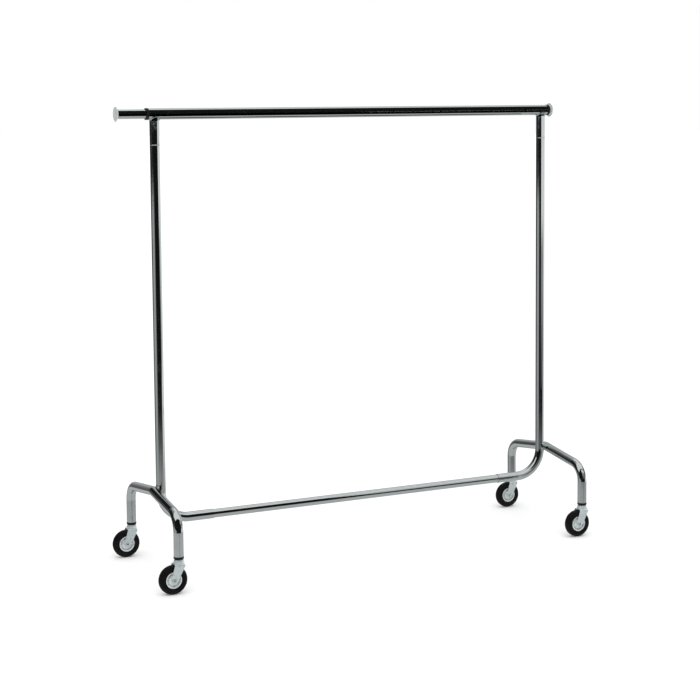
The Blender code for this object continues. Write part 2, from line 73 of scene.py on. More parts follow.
def size_of(node):
    low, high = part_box(node)
    return high - low


def end_of(node, side):
    """Where a node ends along X, on the left for side -1 and on the right for side 1."""
    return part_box(node)[1 if side > 0 else 0].x


def axis_ends(node):
    """The two ends of the axis of a tube that lies along X."""
    height = middle_of(node).z
    return [Vector((end_of(node, side), 0.0, height)) for side in (-1, 1)]


# Places and sizes that come from the frame.
rail_axis = middle_of("top_rail")
rail_radius = size_of("top_rail").z / 2
rack_middle = middle_of("base_bar").x
base_axis = middle_of("base_bar")
base_radius = size_of("base_bar").z / 2
stub_axis = middle_of("right_stub")
stub_radius = size_of("right_stub").x / 2
stub_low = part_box("right_stub")[0].z
seam_height = middle_of("right_connector").z
upright_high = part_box("right_upright")[1].z
elbow_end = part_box("right_upright")[0].x
leg_x = middle_of("right_end_frame").x
leg_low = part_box("right_end_frame")[0].z
leg_y = size_of("right_end_frame").y / 2 - stub_radius
arm_radius = size_of("right_arm").z / 2
tyre_radius = size_of("front_left_tyre").z / 2
tyre_half = size_of("front_left_tyre").y / 2
rim_radius = size_of("front_left_rim").z / 2
fork_half = size_of("front_left_fork").y / 2
fork_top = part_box("front_left_fork")[1].z
race_radius = size_of("front_left_race").x / 2
race_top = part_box("front_left_race")[1].z
ring_radius = size_of("front_left_socket").x / 2
ring_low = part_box("front_left_socket")[0].z
axle_half = size_of("front_left_axle").y / 2
axle_head = size_of("front_left_axle").x / 2
swivel_axis = PIVOT_OF["front_left_swivel"]
wheel_axis = PIVOT_OF["front_left_wheel"]
trail = swivel_axis.x - wheel_axis.x

# Fineness of round shapes.
TUBE_SIDES = 64
CUTTER_SIDES = 128
TYRE_STEPS = 128
RIM_STEPS = 96
TURNED_STEPS = 72
BEND_STEP = radians(4)
BEAD_RINGS = 96
BEAD_SIDES = 12
ROUND_SEGMENTS = 3
MERGE = 0.00001
CREASE = radians(35)
SHARP = radians(50)

# Gaps where a piece rests on another, and round one that slides or plugs in.
REST = 0.0002
SLIDE = 0.0004

AXLE = (0.0, 1.0, 0.0)
WHITE = (1.0, 1.0, 1.0, 1.0)

# The stem, the necks of the riveted pieces, the holes they pass, and the bush between axle and rim.
STEM_RADIUS = 0.0055
NECK_RADIUS = 0.0040
HOLE_RADIUS = 0.0043
HUB_BUSH_RADIUS = 0.0063


class RackTubeSettings(bpy.types.PropertyGroup):
    """Sizes of the bent and welded tubes."""

    wall: bpy.props.FloatProperty(
        name="Wall", description="Wall of every tube", default=0.0012, unit="LENGTH", precision=4
    )
    elbow_radius: bpy.props.FloatProperty(
        name="Elbow", description="Centre-line radius of the elbow under each upright",
        default=0.100, unit="LENGTH",
    )
    end_slope: bpy.props.FloatProperty(
        name="End slope", description="Fall of each half of an end frame",
        default=radians(7.5), subtype="ANGLE",
    )
    end_corner: bpy.props.FloatProperty(
        name="End corner", description="Bend radius over each leg", default=0.062, unit="LENGTH"
    )
    end_apex: bpy.props.FloatProperty(
        name="End apex", description="Bend radius where the end frame meets the upright",
        default=0.060, unit="LENGTH",
    )
    mouth_round: bpy.props.FloatProperty(
        name="Mouth", description="Rounding of a cut tube's edge", default=0.0003, unit="LENGTH", precision=4
    )
    seam_proud: bpy.props.FloatProperty(
        name="Seam ring", description="How far the seam ring stands out",
        default=0.0006, unit="LENGTH", precision=4,
    )
    bead_radius: bpy.props.FloatProperty(
        name="Weld bead", description="Radius of a weld bead", default=0.0031, unit="LENGTH", precision=4
    )
    bead_ripple: bpy.props.FloatProperty(
        name="Ripple", description="Swell of a weld bead's ripples", default=0.10, subtype="FACTOR"
    )
    bead_ripples: bpy.props.IntProperty(name="Ripples", description="Ripples round one bead", default=32)


class RackCasterSettings(bpy.types.PropertyGroup):
    """Sizes of the casters' pressed, turned and moulded pieces."""

    plate: bpy.props.FloatProperty(
        name="Fork plate", description="Thickness of the fork's plate",
        default=0.0025, unit="LENGTH", precision=4,
    )
    fork_bend: bpy.props.FloatProperty(
        name="Fork bend", description="Outer bend radius of the fork's shoulders",
        default=0.0065, unit="LENGTH",
    )
    fork_wide: bpy.props.FloatProperty(
        name="Fork top", description="Fork's width at its shoulders", default=0.032, unit="LENGTH"
    )
    fork_narrow: bpy.props.FloatProperty(
        name="Fork foot", description="Fork's width round the axle", default=0.026, unit="LENGTH"
    )
    edge_round: bpy.props.FloatProperty(
        name="Sheared edge", description="Rounding of a pressing's sheared edge",
        default=0.0005, unit="LENGTH", precision=4,
    )
    tread_crown: bpy.props.FloatProperty(
        name="Tread crown", description="Fall of the tread from its middle to its edge",
        default=0.0006, unit="LENGTH", precision=4,
    )


class RackFinishSettings(bpy.types.PropertyGroup):
    """Colours and polish of the finishes."""

    chrome: bpy.props.FloatVectorProperty(
        name="Chrome", description="Reflectance of the chromed tube", default=(0.64, 0.685, 0.685),
        subtype="COLOR", size=3,
    )
    chrome_roughness: bpy.props.FloatProperty(
        name="Chrome roughness", description="Roughness of clean chrome", default=0.06, subtype="FACTOR"
    )
    zinc: bpy.props.FloatVectorProperty(
        name="Zinc", description="Reflectance of the zinc-plated pressings", default=(0.80, 0.89, 0.90),
        subtype="COLOR", size=3,
    )
    zinc_roughness: bpy.props.FloatProperty(
        name="Zinc roughness", description="Roughness of the zinc plate", default=0.33, subtype="FACTOR"
    )
    steel: bpy.props.FloatVectorProperty(
        name="Steel", description="Reflectance of the axles and stems", default=(0.68, 0.74, 0.75),
        subtype="COLOR", size=3,
    )
    rubber: bpy.props.FloatVectorProperty(
        name="Rubber", description="Colour of the tyres", default=(0.0040, 0.0032, 0.0034),
        subtype="COLOR", size=3,
    )
    plastic: bpy.props.FloatVectorProperty(
        name="Plastic", description="Colour of the moulded pieces", default=(0.006, 0.006, 0.0065),
        subtype="COLOR", size=3,
    )


class RackStudioSettings(bpy.types.PropertyGroup):
    """Camera and soft light."""

    camera_place: bpy.props.FloatVectorProperty(
        name="Camera", description="Camera's place", default=(-2.5449, -5.3302, 1.6407),
        subtype="TRANSLATION", unit="LENGTH", size=3,
    )
    camera_turn: bpy.props.FloatProperty(
        name="Turn", description="Camera's heading, from +Y towards +X",
        default=radians(25.56), subtype="ANGLE",
    )
    camera_tilt: bpy.props.FloatProperty(
        name="Tilt", description="Camera's tilt above the horizon", default=radians(-5.0), subtype="ANGLE"
    )
    camera_roll: bpy.props.FloatProperty(
        name="Roll", description="Camera's roll", default=radians(-0.44), subtype="ANGLE"
    )
    lens: bpy.props.FloatProperty(
        name="Lens", description="Focal length in millimetres on a 36 mm sensor", default=83.53
    )
    shift: bpy.props.FloatProperty(name="Shift", description="Vertical shift of the lens", default=-0.15)
    floor_radius: bpy.props.FloatProperty(
        name="Floor", description="Radius of the pale floor", default=80.0, unit="LENGTH"
    )
    card_height: bpy.props.FloatProperty(
        name="Card", description="Height of the reflector card in front of the rail",
        default=1.585, unit="LENGTH",
    )
    floor_colour: bpy.props.FloatVectorProperty(
        name="Floor colour", description="Colour of the pale floor", default=(0.93, 0.93, 0.93),
        subtype="COLOR", size=3,
    )


# Modelling by hand: small steps that every piece is made of.


def deselect_all():
    """Back to object mode with nothing selected."""
    if bpy.context.object and bpy.context.object.mode != "OBJECT":
        bpy.ops.object.mode_set(mode="OBJECT")
    bpy.ops.object.select_all(action="DESELECT")


def open_piece(name):
    """Names the primitive just added and opens it for shaping."""
    piece = bpy.context.object
    piece.name = name
    piece.data.name = name
    bpy.ops.object.mode_set(mode="EDIT")
    bpy.ops.mesh.select_all(action="SELECT")
    return piece


def activate(piece):
    deselect_all()
    piece.select_set(True)
    bpy.context.view_layer.objects.active = piece


def pick(test):
    """Selects the open mesh's vertices that pass a test, and what lies wholly between them."""
    bpy.ops.mesh.select_all(action="DESELECT")
    mesh = bpy.context.object.data
    shape = bmesh.from_edit_mesh(mesh)
    shape.verts.ensure_lookup_table()
    for vertex in shape.verts:
        if test(vertex):
            vertex.select_set(True)
    shape.select_flush(True)
    bmesh.update_edit_mesh(mesh)


def extrude(step):
    bpy.ops.mesh.extrude_region_move(TRANSFORM_OT_translate={"value": step})


def clean():
    """Merges doubles and turns the faces of the open mesh outwards."""
    bpy.ops.mesh.select_all(action="SELECT")
    bpy.ops.mesh.remove_doubles(threshold=MERGE)
    bpy.ops.mesh.normals_make_consistent(inside=False)


def settle(piece):
    """Puts the object's place into its mesh."""
    activate(piece)
    bpy.ops.object.transform_apply(location=True, rotation=True, scale=True)


def apply_modifier(piece, kind, **settings):
    activate(piece)
    modifier = piece.modifiers.new(kind.title(), kind)
    for key, value in settings.items():
        setattr(modifier, key, value)
    bpy.ops.object.modifier_apply(modifier=modifier.name)


def thicken(piece, wall):
    """Gives a sheet a wall on its inner side."""
    apply_modifier(piece, "SOLIDIFY", thickness=wall, offset=-1.0, use_even_offset=True, use_rim=True)


def round_edges(piece, width, segments=2):
    apply_modifier(piece, "BEVEL", width=width, segments=segments, limit_method="ANGLE", angle_limit=SHARP)


def boolean(piece, cutter, operation="DIFFERENCE"):
    """Cuts or joins with another object, which is then removed."""
    apply_modifier(piece, "BOOLEAN", operation=operation, object=cutter, solver="EXACT")
    bpy.data.objects.remove(cutter, do_unlink=True)


def face_outwards(piece):
    """Turns a closed mesh round if its volume says that it is inside out."""
    shape = bmesh.new()
    shape.from_mesh(piece.data)
    volume = shape.calc_volume(signed=True)
    shape.free()
    if volume < 0:
        activate(piece)
        bpy.ops.object.mode_set(mode="EDIT")
        bpy.ops.mesh.select_all(action="SELECT")
        bpy.ops.mesh.flip_normals()
        bpy.ops.object.mode_set(mode="OBJECT")


def check_closed(piece):
    """Stops the step with an error if a piece has an open or a doubled edge."""
    mesh = bmesh.new()
    mesh.from_mesh(piece.data)
    faulty = sum(not edge.is_manifold for edge in mesh.edges)
    mesh.free()
    if faulty:
        raise RuntimeError(f"{piece.name} isn't closed: {faulty} of its edges don't join two faces")


def finish_piece(piece, node, finish):
    """Smooths a piece, gives it its material, and stands it in for its node on its body."""
    face_outwards(piece)
    check_closed(piece)
    activate(piece)
    bpy.ops.object.shade_smooth_by_angle(angle=CREASE)
    # Long faces keep their own normals, so reflections run straight along a tube.
    apply_modifier(piece, "WEIGHTED_NORMAL", keep_sharp=True)
    piece.data.materials.clear()
    piece.data.materials.append(bpy.data.materials[finish])
    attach(piece, BODY_OF[node])
    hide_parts(node)
    deselect_all()


def finish_pair(piece, node, finish):
    """Finishes the right-hand piece, and a mirrored copy with its own mesh on the left."""
    activate(piece)
    bpy.ops.object.duplicate(linked=False)
    twin = bpy.context.object
    twin.name = piece.name.replace("right_", "left_", 1)
    twin.data.name = twin.name
    twin.scale.x = -1.0
    twin.location.x = 2 * rack_middle
    settle(twin)
    finish_piece(piece, f"right_{node}", finish)
    finish_piece(twin, f"left_{node}", finish)


def finish_casters(piece, label, node, finish):
    """Finishes the front left piece, and a copy with its own mesh at each other caster."""
    for caster in CASTERS:
        if caster != "front_left":
            source = bpy.data.objects[f"front_left_{label}"]
            piece = bpy.data.objects.new(f"{caster}_{label}", source.data.copy())
            piece.data.name = piece.name
            bpy.context.scene.collection.objects.link(piece)
            piece.location = PIVOT_OF[f"{caster}_swivel"] - swivel_axis
            settle(piece)
        finish_piece(piece, f"{caster}_{node}", finish.format(caster=caster))


def aimed(axis):
    """The rotation that turns +Z to an axis."""
    return Vector(axis).to_track_quat("Z", "Y").to_euler()


def bent_tube(name, corners, bends, radius, wall, mouth=0.0):
    """A tube along a line of corners: a ring extruded down each run and spun round each bend."""
    points = [Vector(corner) for corner in corners]
    facing = aimed((points[1] - points[0]).normalized())
    deselect_all()
    bpy.ops.mesh.primitive_circle_add(vertices=TUBE_SIDES, radius=radius, location=points[0], rotation=facing)
    piece = open_piece(name)
    place = points[0]
    for before, corner, after, bend in zip(points, points[1:], points[2:], bends):
        arrive = (corner - before).normalized()
        leave = (after - corner).normalized()
        turn = arrive.angle(leave)
        setback = bend * tan(turn / 2)
        start = corner - arrive * setback
        inward = (leave - arrive * arrive.dot(leave)).normalized()
        extrude(start - place)
        # The spin operator turns left-handed about its axis.
        bpy.ops.mesh.spin(
            steps=max(3, round(turn / BEND_STEP)), angle=-turn, center=start + inward * bend,
            axis=arrive.cross(inward),
        )
        place = corner + leave * setback
    extrude(points[-1] - place)
    clean()
    settle(piece)
    thicken(piece, wall)
    if mouth:
        round_edges(piece, mouth)
    return piece


def turned_piece(name, profile, place=(0.0, 0.0, 0.0), axis=(0.0, 0.0, 1.0), closed=True, steps=TURNED_STEPS):
    """A turned piece. Its profile is one point drawn out corner by corner, rounded, then spun a full turn.

    A corner is (radius, height) or (radius, height, rounding). An open profile starts and ends on the axis.
    """
    corners = [Vector((corner[0], 0.0, corner[1])) for corner in profile]
    deselect_all()
    bpy.ops.mesh.primitive_plane_add(size=MERGE * 100, location=corners[0])
    piece = open_piece(name)
    bpy.ops.mesh.merge(type="CENTER")
    outline = corners + corners[:1] if closed else corners
    for here, there in zip(outline, outline[1:]):
        extrude(there - here)
    bpy.ops.mesh.select_all(action="SELECT")
    bpy.ops.mesh.remove_doubles(threshold=MERGE)
    start = corners[0]
    for rounding in sorted({corner[2] for corner in profile if len(corner) > 2}):
        chosen = [Vector((c[0], 0.0, c[1])) - start for c in profile if len(c) > 2 and c[2] == rounding]
        pick(lambda vertex: any((vertex.co - spot).length < MERGE for spot in chosen))
        bpy.ops.mesh.bevel(offset=rounding, segments=ROUND_SEGMENTS, affect="VERTICES")
    bpy.ops.mesh.select_all(action="SELECT")
    bpy.ops.mesh.spin(steps=steps, angle=2 * pi, center=(0.0, 0.0, 0.0), axis=(0.0, 0.0, 1.0))
    clean()
    settle(piece)
    piece.rotation_euler = aimed(axis)
    piece.location = place
    settle(piece)
    return piece


def cutting_rod(name, radius, start, end, sides=TUBE_SIDES):
    """A plain rod between two points, only ever used as a cutter."""
    start, end = Vector(start), Vector(end)
    deselect_all()
    bpy.ops.mesh.primitive_cylinder_add(
        vertices=sides, radius=radius, depth=(end - start).length, location=(start + end) / 2,
        rotation=aimed(end - start),
    )
    rod = bpy.context.object
    rod.name = name
    settle(rod)
    return rod


def weld_bead(name, line, radius, ripple, ripples):
    """A closed weld bead. Each ring of a torus is moved on to the line and swelled to ripple."""
    deselect_all()
    bpy.ops.mesh.primitive_torus_add(
        major_segments=BEAD_RINGS, minor_segments=BEAD_SIDES, major_radius=stub_radius, minor_radius=radius
    )
    piece = open_piece(name)
    for ring in range(BEAD_RINGS):
        turn = 2 * pi * ring / BEAD_RINGS
        members = range(ring * BEAD_SIDES, (ring + 1) * BEAD_SIDES)
        pick(lambda vertex: vertex.index in members)
        centre = Vector((stub_radius * cos(turn), stub_radius * sin(turn), 0.0))
        target = line(turn)
        swell = 1 + ripple * sin(ripples * turn)
        bpy.ops.transform.resize(value=(swell, swell, swell), center_override=centre)
        bpy.ops.transform.translate(value=target - centre)
    clean()
    settle(piece)
    return piece


# Finishes: node groups that give masks and heights, and the materials that use them.


def add_node(tree, kind, inputs=None, **settings):
    """A node with its settings, and its inputs set to values or linked to other nodes' outputs."""
    made = tree.nodes.new(kind)
    for key, value in settings.items():
        setattr(made, key, value)
    for key, value in (inputs or {}).items():
        if isinstance(value, bpy.types.NodeSocket):
            tree.links.new(value, made.inputs[key])
        else:
            made.inputs[key].default_value = value
    return made


def calculate(tree, operation, *values):
    return add_node(tree, "ShaderNodeMath", dict(enumerate(values)), operation=operation).outputs[0]


def times(tree, *values):
    """The product of two or more values."""
    result = values[0]
    for value in values[1:]:
        result = calculate(tree, "MULTIPLY", result, value)
    return result


def plus(tree, first, second):
    return calculate(tree, "ADD", first, second)


def remap(tree, value, low, high, out_low=0.0, out_high=1.0):
    """A value moved smoothly from one range to another, held at its ends."""
    names = {"Value": value, "From Min": low, "From Max": high, "To Min": out_low, "To Max": out_high}
    return add_node(tree, "ShaderNodeMapRange", names, interpolation_type="SMOOTHSTEP").outputs["Result"]


def blend_colours(tree, factor, first, second):
    """Two colours mixed by a mask."""
    mix = add_node(tree, "ShaderNodeMix", data_type="RGBA")
    for name, value in (("Factor_Float", factor), ("A_Color", first), ("B_Color", second)):
        socket = next(item for item in mix.inputs if item.identifier == name)
        if isinstance(value, bpy.types.NodeSocket):
            tree.links.new(value, socket)
        else:
            socket.default_value = value if name == "Factor_Float" else (*value, 1.0)
    return next(item for item in mix.outputs if item.identifier == "Result_Color")


def new_material(name):
    """A material that uses nodes, and its tree."""
    material = bpy.data.materials.new(name)
    material.use_nodes = True
    return material, material.node_tree


def new_group(name, inputs):
    """An empty shader node group with a vector and named values as inputs."""
    group = bpy.data.node_groups.new(name, "ShaderNodeTree")
    group.interface.new_socket(name="Vector", in_out="INPUT", socket_type="NodeSocketVector")
    for label, default in inputs.items():
        socket = group.interface.new_socket(name=label, in_out="INPUT", socket_type="NodeSocketFloat")
        socket.default_value = default
    return group, group.nodes.new("NodeGroupInput").outputs


def close_group(group, **outputs):
    """Gives a group its outputs, each a mask or a value that changes over the surface."""
    for label in outputs:
        group.interface.new_socket(name=label, in_out="OUTPUT", socket_type="NodeSocketFloat")
    leave = group.nodes.new("NodeGroupOutput").inputs
    for label, value in outputs.items():
        group.links.new(value, leave[label])


def noise(tree, vector, scale, detail=4.0, roughness=0.5, distortion=0.0):
    values = {"Vector": vector, "Scale": scale, "Detail": detail, "Roughness": roughness}
    return add_node(tree, "ShaderNodeTexNoise", {**values, "Distortion": distortion}).outputs["Fac"]


def stretched(tree, vector, scale):
    return add_node(tree, "ShaderNodeMapping", {"Vector": vector, "Scale": scale}).outputs["Vector"]


def handling_group():
    """Smudges from hands, hairline scratches and a faint haze, with a height for the scratches."""
    group, entry = new_group("handling_marks", {"Smudge Scale": 14.0, "Scratch Scale": 260.0})
    place = entry["Vector"]
    cloud = noise(group, place, entry["Smudge Scale"], 6.0, 0.62, 0.8)
    print_lines = noise(group, place, times(group, entry["Smudge Scale"], 9.0), 3.0)
    smudge = times(group, remap(group, cloud, 0.50, 0.72), remap(group, print_lines, 0.35, 0.7))
    lines = []
    for squeeze in ((1.0, 1.0, 0.035), (0.05, 1.0, 1.0)):
        fine = noise(group, stretched(group, place, squeeze), entry["Scratch Scale"], 2.0, 0.6)
        lines.append(remap(group, fine, 0.66, 0.72))
    scratch = calculate(group, "MAXIMUM", *lines)
    haze = noise(group, place, 3.0, 2.0)
    close_group(group, Smudge=smudge, Scratch=scratch, Haze=haze, Height=times(group, scratch, -1.0))


def dust_group():
    """Dust and dirt that settles near the floor, as a mask."""
    group, entry = new_group("settled_dust", {"Top": 0.30})
    place = entry["Vector"]
    height = add_node(group, "ShaderNodeSeparateXYZ", {"Vector": place}).outputs["Z"]
    low = calculate(group, "SUBTRACT", 1.0, calculate(group, "DIVIDE", height, entry["Top"]))
    patches = remap(group, noise(group, place, 38.0, 5.0, 0.6), 0.42, 0.70)
    close_group(group, Dust=times(group, remap(group, low, 0.0, 1.0), patches))


def grain_group():
    """The fine pebbled skin of a moulding, as a height, a mask of its hollows and slow flow marks."""
    group, entry = new_group("moulded_grain", {"Scale": 900.0})
    place, scale = entry["Vector"], entry["Scale"]
    pebbles = add_node(group, "ShaderNodeTexVoronoi", {"Vector": place, "Scale": scale}, feature="SMOOTH_F1")
    cells = pebbles.outputs["Distance"]
    fine = noise(group, place, times(group, scale, 0.6), 4.0, 0.6)
    height = plus(group, cells, times(group, fine, 0.5))
    flow = noise(group, place, 24.0, 3.0, 0.5, 1.2)
    close_group(group, Height=height, Hollow=remap(group, cells, 0.25, 0.7), Flow=flow)


def plating_group():
    """Mottled zinc plate: its soft spangle, and a height with drawing lines."""
    group, entry = new_group("zinc_plating", {"Scale": 130.0})
    place, scale = entry["Vector"], entry["Scale"]
    cells = add_node(group, "ShaderNodeTexVoronoi", {"Vector": place, "Scale": scale}).outputs["Color"]
    tone = add_node(group, "ShaderNodeSeparateColor", {"Color": cells}).outputs["Red"]
    soft = noise(group, place, times(group, scale, 0.4), 5.0, 0.6)
    spangle = plus(group, times(group, tone, 0.35), times(group, soft, 0.65))
    streak = noise(group, stretched(group, place, (1.0, 1.0, 0.06)), 520.0, 3.0, 0.6)
    close_group(group, Spangle=spangle, Height=plus(group, times(group, streak, 0.4), soft))


def turning_group():
    """Rings left by a spinning tool about the vector's Y axis, and the distance from that axis."""
    group, entry = new_group("turning_marks", {"Scale": 900.0})
    across = {0: entry["Vector"], 1: (1.0, 0.0, 1.0)}
    flat = add_node(group, "ShaderNodeVectorMath", across, operation="MULTIPLY").outputs[0]
    radius = add_node(group, "ShaderNodeVectorMath", {0: flat}, operation="LENGTH").outputs["Value"]
    spread = add_node(group, "ShaderNodeCombineXYZ", {"X": radius}).outputs["Vector"]
    close_group(group, Ring=noise(group, spread, entry["Scale"], 3.0, 0.7), Radius=radius)


class Finish:
    """One material being made: its tree, its Principled shader and its object coordinates."""

    def __init__(self, name, roughness, metallic, specular=0.5):
        self.tree = new_material(name)[1]
        self.shader = self.tree.nodes["Principled BSDF"].inputs
        self.shader["Roughness"].default_value = roughness
        self.shader["Metallic"].default_value = metallic
        self.shader["Specular IOR Level"].default_value = specular
        self.place = add_node(self.tree, "ShaderNodeTexCoord").outputs["Object"]

    def group(self, name, vector=None, **values):
        inputs = {key.replace("_", " "): value for key, value in values.items()}
        inputs["Vector"] = vector or self.place
        return add_node(self.tree, "ShaderNodeGroup", inputs, node_tree=bpy.data.node_groups[name]).outputs

    def mix(self, factor, first, second):
        return blend_colours(self.tree, factor, first, second)

    def times(self, *values):
        return times(self.tree, *values)

    def tint(self, tone, mask, strength, colour):
        """A tone with a colour laid over it where a mask says."""
        return self.mix(self.times(mask, strength), tone, colour)

    def add(self, value, mask, strength):
        return plus(self.tree, value, self.times(mask, strength))

    def remap(self, *values):
        return remap(self.tree, *values)

    def bump(self, height, strength, distance, normal=None):
        inputs = {"Height": height, "Strength": strength, "Distance": distance}
        if normal:
            inputs["Normal"] = normal
        return add_node(self.tree, "ShaderNodeBump", inputs).outputs["Normal"]

    def set(self, colour, roughness, normal):
        """Links what changes over the surface to the shader."""
        self.tree.links.new(colour, self.shader["Base Color"])
        self.tree.links.new(roughness, self.shader["Roughness"])
        self.tree.links.new(normal, self.shader["Normal"])


def scaled(colour, factor):
    return tuple(min(1.0, channel * factor) for channel in colour)


def chrome_finish(name, colour, roughness, metallic=1.0, cloud=1.0):
    """Bright chrome plate over drawn tube: a slow waviness, hand smudges, hairlines and dust low down."""
    finish = Finish(name, roughness, metallic)
    marks = finish.group("handling_marks", Smudge_Scale=11.0, Scratch_Scale=210.0)
    dust = finish.group("settled_dust", Top=0.32)
    toned = finish.mix(marks["Haze"], scaled(colour, 0.96), scaled(colour, 1.04))
    smudged = finish.tint(toned, marks["Smudge"], 0.35, scaled(colour, 0.82))
    dusty = finish.tint(smudged, dust["Dust"], 0.22, (0.50, 0.49, 0.46))
    rough = finish.add(roughness, marks["Smudge"], 0.10 * cloud)
    rough = finish.add(rough, marks["Scratch"], 0.06)
    rough = finish.add(rough, dust["Dust"], 0.12)
    wave = noise(finish.tree, finish.place, 9.0, 1.0)
    waved = finish.bump(wave, 0.05, 0.004)
    lined = finish.bump(marks["Height"], 0.05, 0.00004, waved)
    finish.set(colour=dusty, roughness=rough, normal=lined)


def weld_finish(colour):
    """Chromed weld bead: the same plate over a rougher, paler ripple."""
    finish = Finish("chromed_weld", 0.2, 1.0)
    marks = finish.group("handling_marks", Smudge_Scale=60.0, Scratch_Scale=500.0)
    pits = noise(finish.tree, finish.place, 900.0, 4.0, 0.65)
    tone = finish.mix(finish.remap(pits, 0.35, 0.65), scaled(colour, 1.05), scaled(colour, 1.38))
    rough = finish.remap(pits, 0.3, 0.7, 0.55, 0.38)
    rough = finish.add(rough, marks["Smudge"], 0.08)
    finish.set(colour=tone, roughness=rough, normal=finish.bump(pits, 0.25, 0.0002))


def zinc_finish(name, colour, roughness, metallic, about=None):
    """Zinc plate on pressed steel. With a centre, a rim's: rings of spinning, and painted shade that darkens
    its groove.
    """
    finish = Finish(name, roughness, metallic)
    plate = finish.group("zinc_plating", Scale=120.0)
    marks = finish.group("handling_marks", Smudge_Scale=40.0, Scratch_Scale=420.0)
    dust = finish.group("settled_dust", Top=0.13)
    tone = finish.mix(plate["Spangle"], scaled(colour, 0.88), scaled(colour, 1.10))
    tone = finish.tint(tone, marks["Scratch"], 0.30, scaled(colour, 1.30))
    tone = finish.tint(tone, dust["Dust"], 0.25, (0.30, 0.28, 0.25))
    rough = finish.remap(plate["Spangle"], 0.25, 0.75, roughness - 0.07, roughness + 0.09)
    rough = finish.add(rough, marks["Smudge"], 0.10)
    normal = finish.bump(plate["Height"], 0.12, 0.0003)
    if about is not None:
        centre = {"Vector": finish.place, "Location": -about}
        centred = add_node(finish.tree, "ShaderNodeMapping", centre).outputs["Vector"]
        rings = finish.group("turning_marks", centred, Scale=700.0)
        tone = finish.tint(tone, rings["Ring"], 0.22, scaled(colour, 0.78))
        # Painted shade: the ring of the rim's groove between these two radii is darkened towards a third of
        # the zinc's colour and broken up by the plate's mottle. It stands in for the shade that the fork
        # casts into the recess.
        inner = finish.remap(rings["Radius"], rim_radius - 0.0125, rim_radius - 0.0092)
        outer = finish.remap(rings["Radius"], rim_radius - 0.0035, rim_radius - 0.0058)
        speckle = finish.remap(plate["Spangle"], 0.35, 0.65, 0.20, 0.75)
        painted_groove_shade = finish.times(inner, outer, speckle)
        tone = finish.mix(painted_groove_shade, tone, scaled(colour, 0.30))
        normal = finish.bump(rings["Ring"], 0.10, 0.0002, normal)
    finish.set(colour=tone, roughness=rough, normal=normal)


def steel_finish(colour):
    """Plain bright steel of the rivets and stems."""
    finish = Finish("riveted_steel", 0.3, 0.7)
    marks = finish.group("handling_marks", Smudge_Scale=80.0, Scratch_Scale=700.0)
    plate = finish.group("zinc_plating", Scale=320.0)
    tone = finish.mix(plate["Spangle"], scaled(colour, 0.75), scaled(colour, 1.15))
    tone = finish.mix(marks["Scratch"], tone, scaled(colour, 1.4))
    rough = finish.remap(plate["Spangle"], 0.2, 0.8, 0.22, 0.40)
    finish.set(colour=tone, roughness=rough, normal=finish.bump(plate["Height"], 0.15, 0.0002))


def rubber_finish(colour):
    """Black rubber: fine moulded grain, a scuffed tread and pale dust in its hollows."""
    finish = Finish("moulded_rubber", 0.5, 0.0, specular=0.16)
    grain = finish.group("moulded_grain", Scale=700.0)
    dust = finish.group("settled_dust", Top=0.12)
    marks = finish.group("handling_marks", Smudge_Scale=45.0, Scratch_Scale=380.0)
    tone = finish.mix(grain["Flow"], scaled(colour, 0.75), scaled(colour, 1.5))
    tone = finish.tint(tone, marks["Smudge"], 0.5, scaled(colour, 3.2))
    settled = finish.times(dust["Dust"], grain["Hollow"], 0.10)
    tone = finish.mix(settled, tone, (0.16, 0.145, 0.125))
    rough = finish.remap(grain["Flow"], 0.3, 0.7, 0.46, 0.62)
    rough = finish.add(rough, marks["Smudge"], 0.12)
    finish.set(colour=tone, roughness=rough, normal=finish.bump(grain["Height"], 0.22, 0.0002))


def plastic_finish(name, colour, shine):
    """Moulded plastic with a satin skin, flow marks and fine scuffs."""
    finish = Finish(name, shine, 0.0, specular=0.35)
    grain = finish.group("moulded_grain", Scale=1500.0)
    marks = finish.group("handling_marks", Smudge_Scale=70.0, Scratch_Scale=600.0)
    tone = finish.mix(grain["Flow"], scaled(colour, 0.8), scaled(colour, 1.35))
    tone = finish.tint(tone, marks["Scratch"], 0.35, scaled(colour, 4.0))
    rough = finish.remap(grain["Flow"], 0.3, 0.7, shine - 0.06, shine + 0.08)
    rough = finish.add(rough, marks["Smudge"], 0.15)
    finish.set(colour=tone, roughness=rough, normal=finish.bump(grain["Height"], 0.15, 0.00012))


# The pieces and the operators that make them.


class RACK_OT_finishes(bpy.types.Operator):
    """Makes the node groups and the materials that the pieces use"""

    bl_idname = "rack.finishes"
    bl_label = "Make Finishes"

    def execute(self, context):
        settings = context.scene.rack_finishes
        for make_group in (handling_group, dust_group, grain_group, plating_group, turning_group):
            make_group()
        chrome, zinc, steel, rubber, plastic = (
            tuple(getattr(settings, name)) for name in ("chrome", "zinc", "steel", "rubber", "plastic")
        )
        chrome_finish("polished_chrome", chrome, settings.chrome_roughness)
        chrome_finish("polished_cap", scaled(chrome, 1.25), settings.chrome_roughness + 0.08, 0.45, cloud=0.6)
        weld_finish(chrome)
        zinc_finish("plated_zinc", zinc, settings.zinc_roughness, 0.68)
        rim_zinc = scaled(zinc, 1.08)
        for caster in CASTERS:
            about = PIVOT_OF[f"{caster}_wheel"]
            zinc_finish(f"plated_rim_{caster}", rim_zinc, settings.zinc_roughness - 0.04, 0.45, about)
        steel_finish(steel)
        rubber_finish(rubber)
        plastic_finish("moulded_black", plastic, 0.42)
        plastic_finish("moulded_bush", scaled(plastic, 1.5), 0.38)
        return {"FINISHED"}


